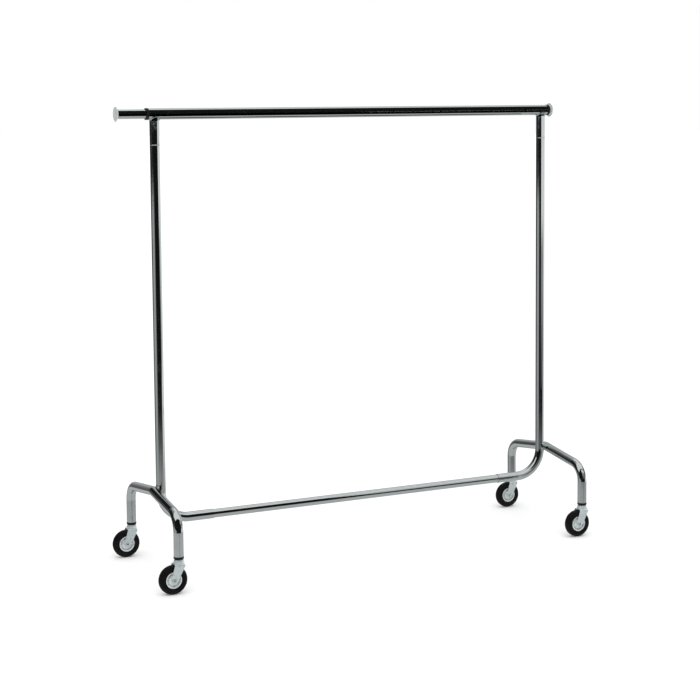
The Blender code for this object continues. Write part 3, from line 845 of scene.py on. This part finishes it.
class RACK_OT_rail(bpy.types.Operator):
    """Makes the hanging rail, its stubs, their weld beads and the seam rings"""

    bl_idname = "rack.rail"
    bl_label = "Make Hanging Rail"

    def execute(self, context):
        tubes = context.scene.rack_tubes
        ends = axis_ends("top_rail")
        rail = bent_tube("hanging_rail", ends, (), rail_radius, tubes.wall, tubes.mouth_round)
        finish_piece(rail, "top_rail", "polished_chrome")

        top = (stub_axis.x, 0.0, rail_axis.z)
        bottom = (stub_axis.x, 0.0, stub_low)
        stub = bent_tube("right_stub_tube", [bottom, top], (), stub_radius, tubes.wall)
        boolean(stub, cutting_rod("saddle", rail_radius, *ends, sides=CUTTER_SIDES))
        round_edges(stub, tubes.mouth_round)
        finish_pair(stub, "stub", "polished_chrome")

        def saddle(turn):
            across = stub_radius * sin(turn)
            drop = sqrt(rail_radius**2 - across**2)
            return Vector((stub_axis.x + stub_radius * cos(turn), across, rail_axis.z - drop))

        bead = weld_bead("right_rail_bead", saddle, tubes.bead_radius, tubes.bead_ripple, tubes.bead_ripples)
        finish_pair(bead, "rail_weld", "chromed_weld")

        half = size_of("right_connector").z / 2
        sleeve = base_radius
        bore = sleeve - tubes.wall
        proud = stub_radius + tubes.seam_proud
        bead_half = (stub_low - upright_high) / 2 - REST
        profile = [
            (sleeve, half, 0.0008), (sleeve, bead_half), (proud, bead_half, 0.0010),
            (proud, -bead_half, 0.0010), (sleeve, -bead_half), (sleeve, -half, 0.0008),
            (bore, -half), (bore, half),
        ]
        ring = turned_piece("right_seam_ring", profile, (stub_axis.x, 0.0, seam_height))
        finish_pair(ring, "connector", "polished_chrome")
        return {"FINISHED"}


class RACK_OT_uprights(bpy.types.Operator):
    """Makes the uprights with their elbows, and the base bar between them"""

    bl_idname = "rack.uprights"
    bl_label = "Make Uprights and Base Bar"

    def execute(self, context):
        tubes = context.scene.rack_tubes
        foot = (stub_axis.x, 0.0, base_axis.z)
        corners = [(stub_axis.x, 0.0, upright_high), foot, (elbow_end, 0.0, base_axis.z)]
        mouth = 2 * tubes.mouth_round
        bends = [tubes.elbow_radius]
        upright = bent_tube("right_upright_tube", corners, bends, stub_radius, tubes.wall, mouth)
        finish_pair(upright, "upright", "polished_chrome")
        bar = bent_tube("base_tube", axis_ends("base_bar"), (), base_radius, tubes.wall, tubes.mouth_round)
        finish_piece(bar, "base_bar", "polished_chrome")
        return {"FINISHED"}


class RACK_OT_end_frames(bpy.types.Operator):
    """Makes the bent end frames, with a seat for each upright and the weld bead round it"""

    bl_idname = "rack.end_frames"
    bl_label = "Make End Frames"

    def execute(self, context):
        tubes = context.scene.rack_tubes
        sag = tubes.end_apex * (1 / cos(tubes.end_slope) - 1)
        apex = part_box("right_end_frame")[1].z - stub_radius + sag
        corner = apex - leg_y * tan(tubes.end_slope)
        corners = [
            (leg_x, -leg_y, leg_low), (leg_x, -leg_y, corner), (leg_x, 0.0, apex), (leg_x, leg_y, corner),
            (leg_x, leg_y, leg_low),
        ]
        bends = [tubes.end_corner, tubes.end_apex, tubes.end_corner]
        end = bent_tube("right_end_tube", corners, bends, stub_radius, tubes.wall)
        seat_ends = [(stub_axis.x, 0.0, apex + reach) for reach in (-4 * stub_radius, 4 * stub_radius)]
        boolean(end, cutting_rod("seat", stub_radius, *seat_ends, sides=CUTTER_SIDES))
        round_edges(end, tubes.mouth_round)
        finish_pair(end, "end_frame", "polished_chrome")

        middle = (leg_x - stub_axis.x) / 2
        swing = stub_radius - middle
        crossing = apex - sag

        def seat_line(turn):
            shift = -swing * cos(2 * turn)
            across = copysign(sqrt(max(0.0, stub_radius**2 - (middle + shift) ** 2)), cos(turn))
            rise = copysign(sqrt(max(0.0, stub_radius**2 - (middle - shift) ** 2)), sin(turn))
            return Vector((stub_axis.x + middle + shift, across, crossing + rise))

        ripples = tubes.bead_ripples // 2
        bead = weld_bead("right_seat_bead", seat_line, tubes.bead_radius, tubes.bead_ripple, ripples)
        finish_pair(bead, "frame_weld", "chromed_weld")
        return {"FINISHED"}


class RACK_OT_arms(bpy.types.Operator):
    """Makes the pull-out arms with their end discs and guides, and the bushes they slide in"""

    bl_idname = "rack.arms"
    bl_label = "Make Pull-out Arms"

    def execute(self, context):
        tubes = context.scene.rack_tubes
        plug_radius = arm_radius - tubes.wall - SLIDE
        for side, sign in (("left", -1), ("right", 1)):
            outward = Vector((sign, 0.0, 0.0))
            rim = end_of("top_rail", sign)
            face = abs(end_of(f"{side}_rail_bush", sign) - rim)
            depth = size_of(f"{side}_rail_bush").x - face
            collar = size_of(f"{side}_rail_bush").z / 2
            bore = arm_radius + SLIDE
            sleeve = rail_radius - tubes.wall - SLIDE
            seat = rail_radius + REST
            lap = 0.008
            profile = [
                (collar - 0.0003, face, 0.0008), (collar, -lap * 0.35, 0.0006),
                (collar - 0.0003, -lap, 0.0005), (seat, -lap), (seat, REST), (sleeve, REST),
                (sleeve, -depth, 0.0004), (bore, -depth), (bore, face, 0.0007),
            ]
            bush = turned_piece(f"{side}_bush_collar", profile, (rim, 0.0, rail_axis.z), outward)
            finish_piece(bush, f"{side}_rail_bush", "moulded_bush")

            outer = end_of(f"{side}_arm", sign)
            inner = end_of(f"{side}_arm", -sign)
            ends = [(inner, 0.0, rail_axis.z), (outer, 0.0, rail_axis.z)]
            arm = bent_tube(f"{side}_arm_tube", ends, (), arm_radius, tubes.wall, tubes.mouth_round)
            finish_piece(arm, f"{side}_arm", "polished_chrome")

            tip = end_of(f"{side}_end_disc", sign)
            plug = size_of(f"{side}_end_disc").x
            radius = size_of(f"{side}_end_disc").z / 2
            cone = abs(tip - outer)
            profile = [
                (0.0, 0.0), (radius * 0.55, -0.0001, 0.002), (radius - 0.0030, -0.0005, 0.0008),
                (radius - 0.0014, -0.0001, 0.0005), (radius, -0.0012, 0.0006),
                (radius - 0.0008, -0.0026, 0.0005), (arm_radius + 0.0052, -0.0026, 0.001),
                (arm_radius + 0.0018, 0.0018 - cone, 0.0012), (arm_radius + 0.0006, 0.0004 - cone, 0.0002),
                (arm_radius, REST - cone), (plug_radius, REST - cone), (plug_radius, -plug, 0.0006),
                (0.0, -plug),
            ]
            disc = turned_piece(f"{side}_disc_cap", profile, (tip, 0.0, rail_axis.z), outward, closed=False)
            finish_piece(disc, f"{side}_end_disc", "polished_cap")

            flange_end = end_of(f"{side}_arm_guide", -sign)
            length = size_of(f"{side}_arm_guide").x
            flange = abs(inner - flange_end) - REST
            edge = arm_radius - REST
            hollow = plug_radius - 0.002
            floor = 0.008
            profile = [
                (0.0, 0.0), (edge, 0.0, 0.0008), (edge, flange, 0.0004), (plug_radius, flange),
                (plug_radius, length, 0.0012), (hollow, length), (hollow, floor), (0.0, floor),
            ]
            place = (flange_end, 0.0, rail_axis.z)
            guide = turned_piece(f"{side}_guide_plug", profile, place, outward, closed=False)
            finish_piece(guide, f"{side}_arm_guide", "moulded_bush")
        return {"FINISHED"}


def fork_plate(settings):
    """The pressed fork of the front left caster: a bent strip, cut to its side outline and pierced."""
    bend = settings.fork_bend
    deselect_all()
    bpy.ops.mesh.primitive_plane_add(size=1.0, location=(swivel_axis.x - trail / 2, swivel_axis.y, fork_top))
    fork = open_piece("front_left_fork_plate")
    bpy.ops.transform.resize(value=(4 * trail, 2 * fork_half, 1.0))
    for sign in (-1.0, 1.0):
        pick(lambda vertex: vertex.co.y * sign > 0.1 * fork_half and abs(vertex.co.z) < MERGE)
        extrude((0.0, 0.0, -fork_top))
    pick(lambda vertex: abs(vertex.co.z) < MERGE)
    bpy.ops.mesh.select_mode(type="EDGE")
    shape = bmesh.from_edit_mesh(fork.data)
    for edge in shape.edges:
        level = all(abs(vertex.co.z) < MERGE for vertex in edge.verts)
        along = abs(edge.verts[0].co.y - edge.verts[1].co.y) < MERGE
        edge.select_set(level and along)
    bmesh.update_edit_mesh(fork.data)
    bpy.ops.mesh.bevel(offset=bend, segments=8, affect="EDGES")
    bpy.ops.mesh.select_mode(type="VERT")
    clean()
    settle(fork)
    thicken(fork, settings.plate)
    face_outwards(fork)

    wide = settings.fork_wide / 2
    deselect_all()
    bpy.ops.mesh.primitive_cylinder_add(
        vertices=96, radius=settings.fork_narrow / 2, depth=6 * fork_half, location=wheel_axis,
        rotation=(pi / 2, 0.0, 0.0),
    )
    outline = bpy.context.object
    settle(outline)
    bpy.ops.mesh.primitive_cube_add(
        size=1.0, location=(swivel_axis.x, swivel_axis.y, fork_top), scale=(2 * wide, 6 * fork_half, 0.016)
    )
    block = bpy.context.object
    settle(block)
    outline.select_set(True)
    bpy.context.view_layer.objects.active = outline
    bpy.ops.object.join()
    bpy.ops.object.mode_set(mode="EDIT")
    bpy.ops.mesh.select_all(action="SELECT")
    bpy.ops.mesh.convex_hull()
    clean()
    bpy.ops.object.mode_set(mode="OBJECT")
    boolean(fork, outline, "INTERSECT")
    under = Vector((swivel_axis.x, swivel_axis.y, fork_top - 0.02))
    boolean(fork, cutting_rod("stem_hole", HOLE_RADIUS, under, under + Vector((0.0, 0.0, 0.04))))
    front = wheel_axis - Vector((0.0, 3 * fork_half, 0.0))
    boolean(fork, cutting_rod("axle_hole", HOLE_RADIUS, front, front + Vector((0.0, 6 * fork_half, 0.0))))
    round_edges(fork, settings.edge_round, segments=3)
    return fork


class RACK_OT_casters(bpy.types.Operator):
    """Makes the casters' sockets, stems, bearing cups, forks and axles"""

    bl_idname = "rack.casters"
    bl_label = "Make Casters"

    def execute(self, context):
        settings = context.scene.rack_casters
        tubes = context.scene.rack_tubes
        foot = (swivel_axis.x, swivel_axis.y, 0.0)
        sleeve = stub_radius - tubes.wall - SLIDE
        sleeve_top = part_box("front_left_socket")[1].z
        bore = STEM_RADIUS + REST
        ring_high = leg_low - REST
        socket = turned_piece("front_left_socket_ring", [
            (sleeve - 0.0006, sleeve_top, 0.0005), (sleeve, ring_high),
            (ring_radius - 0.0002, ring_high, 0.0006), (ring_radius, ring_high - 0.0035, 0.0008),
            (ring_radius - 0.0004, ring_low + 0.0016, 0.0010), (ring_radius - 0.0024, ring_low, 0.0010),
            (bore, ring_low), (bore, sleeve_top),
        ], foot)
        stem_low, stem_high = (corner.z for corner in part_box("front_left_stem"))
        shank = STEM_RADIUS
        neck_high = fork_top + 0.004
        neck_low = fork_top - settings.plate - REST
        stem = turned_piece("front_left_stem_pin", [
            (0.0, stem_high), (shank - 0.001, stem_high), (shank, stem_high - 0.002, 0.0008),
            (shank, neck_high), (NECK_RADIUS, neck_high), (NECK_RADIUS, neck_low),
            (shank + 0.001, neck_low, 0.0004), (shank - 0.001, stem_low, 0.0008), (0.0, stem_low),
        ], foot, closed=False)
        base = fork_top + 0.0003
        race = turned_piece("front_left_race_cup", [
            (race_radius - 0.0052, race_top, 0.0008), (race_radius - 0.0018, race_top - 0.0022, 0.0016),
            (race_radius - 0.0010, race_top - 0.0062, 0.0008), (race_radius, race_top - 0.0078, 0.0008),
            (race_radius, base + 0.0012, 0.0007), (race_radius - 0.0012, base, 0.0005), (bore, base),
            (bore, race_top),
        ], foot)
        fork = fork_plate(settings)
        under = fork_half + REST
        head = axle_half
        axle = turned_piece("front_left_axle_rivet", [
            (axle_head - 0.0032, head, 0.0007), (axle_head - 0.0006, under + 0.0009, 0.0006),
            (axle_head, under, 0.0002), (NECK_RADIUS, under), (NECK_RADIUS, -under),
            (axle_head, -under, 0.0002), (axle_head - 0.0006, -under - 0.0009, 0.0006),
            (axle_head - 0.0032, -head, 0.0007),
            (0.0034, -head, 0.0006), (0.0021, 0.0014 - head, 0.0004), (0.0021, head - 0.0014, 0.0004),
            (0.0034, head, 0.0006),
        ], wheel_axis, AXLE)
        finish_casters(socket, "socket_ring", "socket", "moulded_black")
        finish_casters(stem, "stem_pin", "stem", "riveted_steel")
        finish_casters(race, "race_cup", "race", "plated_zinc")
        finish_casters(fork, "fork_plate", "fork", "plated_zinc")
        finish_casters(axle, "axle_rivet", "axle", "riveted_steel")
        return {"FINISHED"}


def both_sides(side):
    """A profile's one half, and the same corners on the other side of its middle."""
    return [*side, *[(corner[0], -corner[1], *corner[2:]) for corner in reversed(side)]]


class RACK_OT_wheels(bpy.types.Operator):
    """Makes the wheels: tyres, pressed rims and hub bushes"""

    bl_idname = "rack.wheels"
    bl_label = "Make Wheels"

    def execute(self, context):
        radius, half = tyre_radius, tyre_half
        edge = radius - context.scene.rack_casters.tread_crown
        seat = rim_radius + REST
        side = [
            (edge, 0.0062, 0.0012), (radius - 0.0028, half - 0.0034, 0.0022),
            (radius - 0.0085, half - 0.0004, 0.0024), (radius - 0.0130, half, 0.0010),
            (radius - 0.0136, half - 0.0007, 0.0003), (radius - 0.0150, half - 0.0007, 0.0003),
            (radius - 0.0156, half - 0.0001, 0.0005), (seat + 0.0022, half - 0.0012, 0.0008),
            (seat, half - 0.0024),
        ]
        profile = [(radius, 0.0), *both_sides(side)]
        tyre = turned_piece("front_left_tyre_ring", profile, wheel_axis, AXLE, steps=TYRE_STEPS)
        rim = rim_radius
        face = half - 0.0012
        hub = 0.0103
        bush = HUB_BUSH_RADIUS + 0.0003
        front = [
            (rim, face - 0.0016, 0.0008), (rim - 0.0016, face, 0.0012), (rim - 0.0036, face - 0.0008, 0.0010),
            (rim - 0.0056, half - 0.0066, 0.0012), (rim - 0.0090, half - 0.0074, 0.0014),
            (rim - 0.0112, half - 0.0048, 0.0012), (hub + 0.0024, half - 0.0040, 0.0010),
            (hub, half + 0.0004, 0.0006), (bush, half + 0.0006),
        ]
        wheel = turned_piece("front_left_rim_pressing", both_sides(front), wheel_axis, AXLE, steps=RIM_STEPS)
        length = size_of("front_left_hub_bush").y / 2
        sleeve = turned_piece("front_left_hub_sleeve", [
            (HUB_BUSH_RADIUS, length, 0.0004), (HUB_BUSH_RADIUS, -length, 0.0004), (HOLE_RADIUS, -length),
            (HOLE_RADIUS, length),
        ], wheel_axis, AXLE)
        finish_casters(tyre, "tyre_ring", "tyre", "moulded_rubber")
        finish_casters(wheel, "rim_pressing", "rim", "plated_rim_{caster}")
        finish_casters(sleeve, "hub_sleeve", "hub_bush", "moulded_bush")
        return {"FINISHED"}


# The stage.


def floor_material(settings):
    """Pale matt floor with a faint mottle."""
    material, tree = new_material("pale_floor")
    shader = tree.nodes["Principled BSDF"].inputs
    mottle = noise(tree, add_node(tree, "ShaderNodeTexCoord").outputs["Object"], 1.5, 3.0)
    colour = tuple(settings.floor_colour)
    tone = blend_colours(tree, mottle, scaled(colour, 0.99), scaled(colour, 1.01))
    tree.links.new(tone, shader["Base Color"])
    shader["Roughness"].default_value = 0.9
    shader["Specular IOR Level"].default_value = 0.0
    return material


def glow_material(name, level_of):
    """Unlit card whose brightness is worked out by a function of its tree."""
    material, tree = new_material(name)
    glow = add_node(tree, "ShaderNodeEmission", {"Color": WHITE, "Strength": level_of(tree)})
    tree.links.new(glow.outputs[0], tree.nodes["Material Output"].inputs["Surface"])
    return material


def under_card_level(tree):
    """Pale underneath and black on top."""
    return times(tree, add_node(tree, "ShaderNodeNewGeometry").outputs["Backfacing"], 0.88)


def side_card_level(tree):
    """Bright at the top and fading towards the floor."""
    place = add_node(tree, "ShaderNodeTexCoord").outputs["Object"]
    height = add_node(tree, "ShaderNodeSeparateXYZ", {"Vector": place}).outputs["Z"]
    return plus(tree, remap(tree, height, 0.35, 0.85, 0.10, 0.32), remap(tree, height, 0.90, 1.15, 0.0, 0.54))


def studio_world():
    """Even white light for matt surfaces, and for polished ones a small studio, given by direction.

    It is white overhead, grey behind, pale to the right and dark in front, with a dark beam
    slanting up behind and a floor that is pale near by but for a faint post straight ahead.
    """
    world = bpy.data.worlds.new("soft_studio")
    bpy.context.scene.world = world
    world.use_nodes = True
    tree = world.node_tree
    tree.nodes.clear()

    def multiply(*values):
        return times(tree, *values)

    def brightest(first, *others):
        for other in others:
            first = calculate(tree, "MAXIMUM", first, other)
        return first

    def ramp(value, *ranges):
        return remap(tree, value, *ranges)

    direction = add_node(tree, "ShaderNodeTexCoord").outputs["Generated"]
    parts = add_node(tree, "ShaderNodeSeparateXYZ", {"Vector": direction}).outputs
    rise = parts["Z"]
    forward = multiply(parts["Y"], -1.0)
    lean = calculate(tree, "ARCTAN2", rise, forward)
    heading = calculate(tree, "ARCTAN2", parts["X"], forward)
    sideways = ramp(parts["X"], -0.35, 0.15, 0.30, 1.0)
    overhead = multiply(ramp(lean, radians(86), radians(112)), ramp(rise, 0.60, 0.82), sideways)
    behind = multiply(ramp(parts["Y"], -0.05, 0.25), ramp(rise, 0.60, 0.85, 0.46, 0.9), sideways)
    tilted = {0: direction, 1: (0.64, 0.544, -0.542)}
    across = add_node(tree, "ShaderNodeVectorMath", tilted, operation="DOT_PRODUCT").outputs["Value"]
    across = calculate(tree, "ABSOLUTE", across)
    beam = multiply(ramp(across, 0.15, 0.05), ramp(rise, 0.08, 0.22), ramp(rise, 0.80, 0.72), 0.93)
    corner = multiply(
        ramp(heading, radians(-168), radians(-152)), ramp(heading, radians(-92), radians(-122)),
        ramp(rise, -0.14, -0.08), ramp(rise, 0.14, 0.04), 0.62,
    )
    edge = multiply(
        ramp(heading, radians(-152), radians(-138)), ramp(heading, radians(-92), radians(-112)),
        ramp(rise, -0.075, -0.045), 0.92,
    )
    behind = multiply(behind, calculate(tree, "SUBTRACT", 1.0, brightest(beam, corner, edge)))
    right = multiply(
        ramp(heading, radians(46), radians(60)), ramp(heading, radians(172), radians(150)),
        ramp(rise, 0.16, 0.04), ramp(rise, -0.26, -0.20), 0.86,
    )
    left = multiply(
        ramp(heading, radians(-44), radians(-74)), ramp(heading, radians(-130), radians(-112)),
        ramp(rise, -0.045, -0.062), 0.40,
    )
    aside = calculate(tree, "ABSOLUTE", calculate(tree, "SUBTRACT", heading, radians(4)))
    floor = multiply(ramp(rise, -0.18, -0.262, 0.008, 0.52), ramp(aside, radians(8), radians(3), 1.0, 0.62))
    bright = brightest(overhead, behind, right, left, floor)
    path = add_node(tree, "ShaderNodeLightPath").outputs
    seen = {"Factor": path["Is Glossy Ray"], "A": 1.0, "B": bright}
    level = add_node(tree, "ShaderNodeMix", seen).outputs["Result"]
    shade = add_node(tree, "ShaderNodeBackground", {"Color": WHITE, "Strength": level})
    leave = add_node(tree, "ShaderNodeOutputWorld")
    tree.links.new(shade.outputs[0], leave.inputs["Surface"])


def hide_from(item, *kinds):
    for kind in kinds:
        setattr(item, f"visible_{kind}", False)


def add_card(name, material, across, deep, tall):
    """A reflector that only polished surfaces see: a plane shaped to its ranges along X, Y and Z."""
    deselect_all()
    bpy.ops.mesh.primitive_plane_add(size=1.0)
    card = open_piece(name)
    if deep[0] == deep[1]:
        bpy.ops.transform.rotate(value=pi / 2, orient_axis="X", center_override=(0.0, 0.0, 0.0))
    spans = (across, deep, tall)
    bpy.ops.transform.resize(
        value=[max(high - low, MERGE) for low, high in spans], center_override=(0.0, 0.0, 0.0)
    )
    bpy.ops.transform.translate(value=[(low + high) / 2 for low, high in spans])
    bpy.ops.object.mode_set(mode="OBJECT")
    card.data.materials.append(material)
    hide_from(card, "camera", "diffuse", "shadow", "transmission")


def add_camera(settings):
    """The camera, aimed by its heading, tilt and roll."""
    turn, tilt, roll = settings.camera_turn, settings.camera_tilt, settings.camera_roll
    ahead = Vector((sin(turn) * cos(tilt), cos(turn) * cos(tilt), sin(tilt)))
    level_right = Vector((cos(turn), -sin(turn), 0.0))
    level_up = level_right.cross(ahead)
    across = level_right * cos(roll) + level_up * sin(roll)
    up = level_up * cos(roll) - level_right * sin(roll)
    bpy.ops.object.camera_add()
    camera = bpy.context.object
    camera.name = "camera"
    axes = Matrix((across, up, -ahead)).transposed().to_4x4()
    camera.matrix_world = Matrix.Translation(settings.camera_place) @ axes
    camera.data.lens = settings.lens
    camera.data.sensor_width = 36.0
    camera.data.shift_y = settings.shift
    camera.data.clip_end = 500.0
    return camera


class RACK_OT_stage(bpy.types.Operator):
    """Makes the pale floor, the soft light and the camera"""

    bl_idname = "rack.stage"
    bl_label = "Make Stage"

    def execute(self, context):
        settings = context.scene.rack_studio
        deselect_all()
        bpy.ops.mesh.primitive_circle_add(vertices=128, radius=settings.floor_radius, fill_type="NGON")
        floor = bpy.context.object
        floor.name = "pale_floor"
        floor.data.materials.append(floor_material(settings))
        hide_from(floor, "glossy")

        high = settings.card_height
        low = high - 0.085
        clear = 1.6 * stub_radius
        between = (end_of("left_upright", -1) + 3 * stub_radius, end_of("right_upright", 1) - 3 * stub_radius)
        under = glow_material("under_card", under_card_level)
        side = glow_material("side_card", side_card_level)
        add_card("front_card", under, (-2.5, 2.7), (-1.10, -clear), (high, high))
        add_card("rail_card", under, between, (-clear, stub_radius), (low, low))
        add_card("side_card", side, (0.70, 2.7), (-1.30, -1.30), (0.30, 1.60))

        studio_world()
        bpy.ops.object.light_add(type="SUN", rotation=(radians(28), radians(-14), 0.0))
        sun = bpy.context.object
        sun.name = "soft_sun"
        sun.data.angle = radians(60)
        sun.data.energy = 0.9
        hide_from(sun, "glossy")

        bpy.context.scene.camera = add_camera(settings)
        context.scene.view_settings.view_transform = "Standard"
        return {"FINISHED"}


STEPS = (
    RACK_OT_finishes, RACK_OT_rail, RACK_OT_uprights, RACK_OT_end_frames, RACK_OT_arms, RACK_OT_casters,
    RACK_OT_wheels, RACK_OT_stage,
)


class RACK_PT_panel(bpy.types.Panel):
    """Lists the steps that make the rack, with the sizes and colours they use"""

    bl_idname = "RACK_PT_panel"
    bl_label = "Rolling Clothes Rack"
    bl_space_type = "VIEW_3D"
    bl_region_type = "UI"
    bl_category = "Rack"

    def draw(self, context):
        column = self.layout.column(align=True)
        for step in STEPS:
            column.operator(step.bl_idname)
        for settings in (context.scene.rack_tubes, context.scene.rack_casters, context.scene.rack_finishes,
                         context.scene.rack_studio):
            box = self.layout.box()
            for name in settings.__annotations__:
                box.prop(settings, name)


SETTINGS = {
    "rack_tubes": RackTubeSettings,
    "rack_casters": RackCasterSettings,
    "rack_finishes": RackFinishSettings,
    "rack_studio": RackStudioSettings,
}


def register():
    for kind in (*SETTINGS.values(), *STEPS, RACK_PT_panel):
        bpy.utils.register_class(kind)
    for name, kind in SETTINGS.items():
        setattr(bpy.types.Scene, name, bpy.props.PointerProperty(type=kind))


def unregister():
    for name in SETTINGS:
        delattr(bpy.types.Scene, name)
    for kind in reversed((*SETTINGS.values(), *STEPS, RACK_PT_panel)):
        bpy.utils.unregister_class(kind)


def main():
    register()
    bpy.ops.rack.finishes()
    bpy.ops.rack.rail()
    bpy.ops.rack.uprights()
    bpy.ops.rack.end_frames()
    bpy.ops.rack.arms()
    bpy.ops.rack.casters()
    bpy.ops.rack.wheels()
    bpy.ops.rack.stage()


if __name__ == "__main__":
    main()
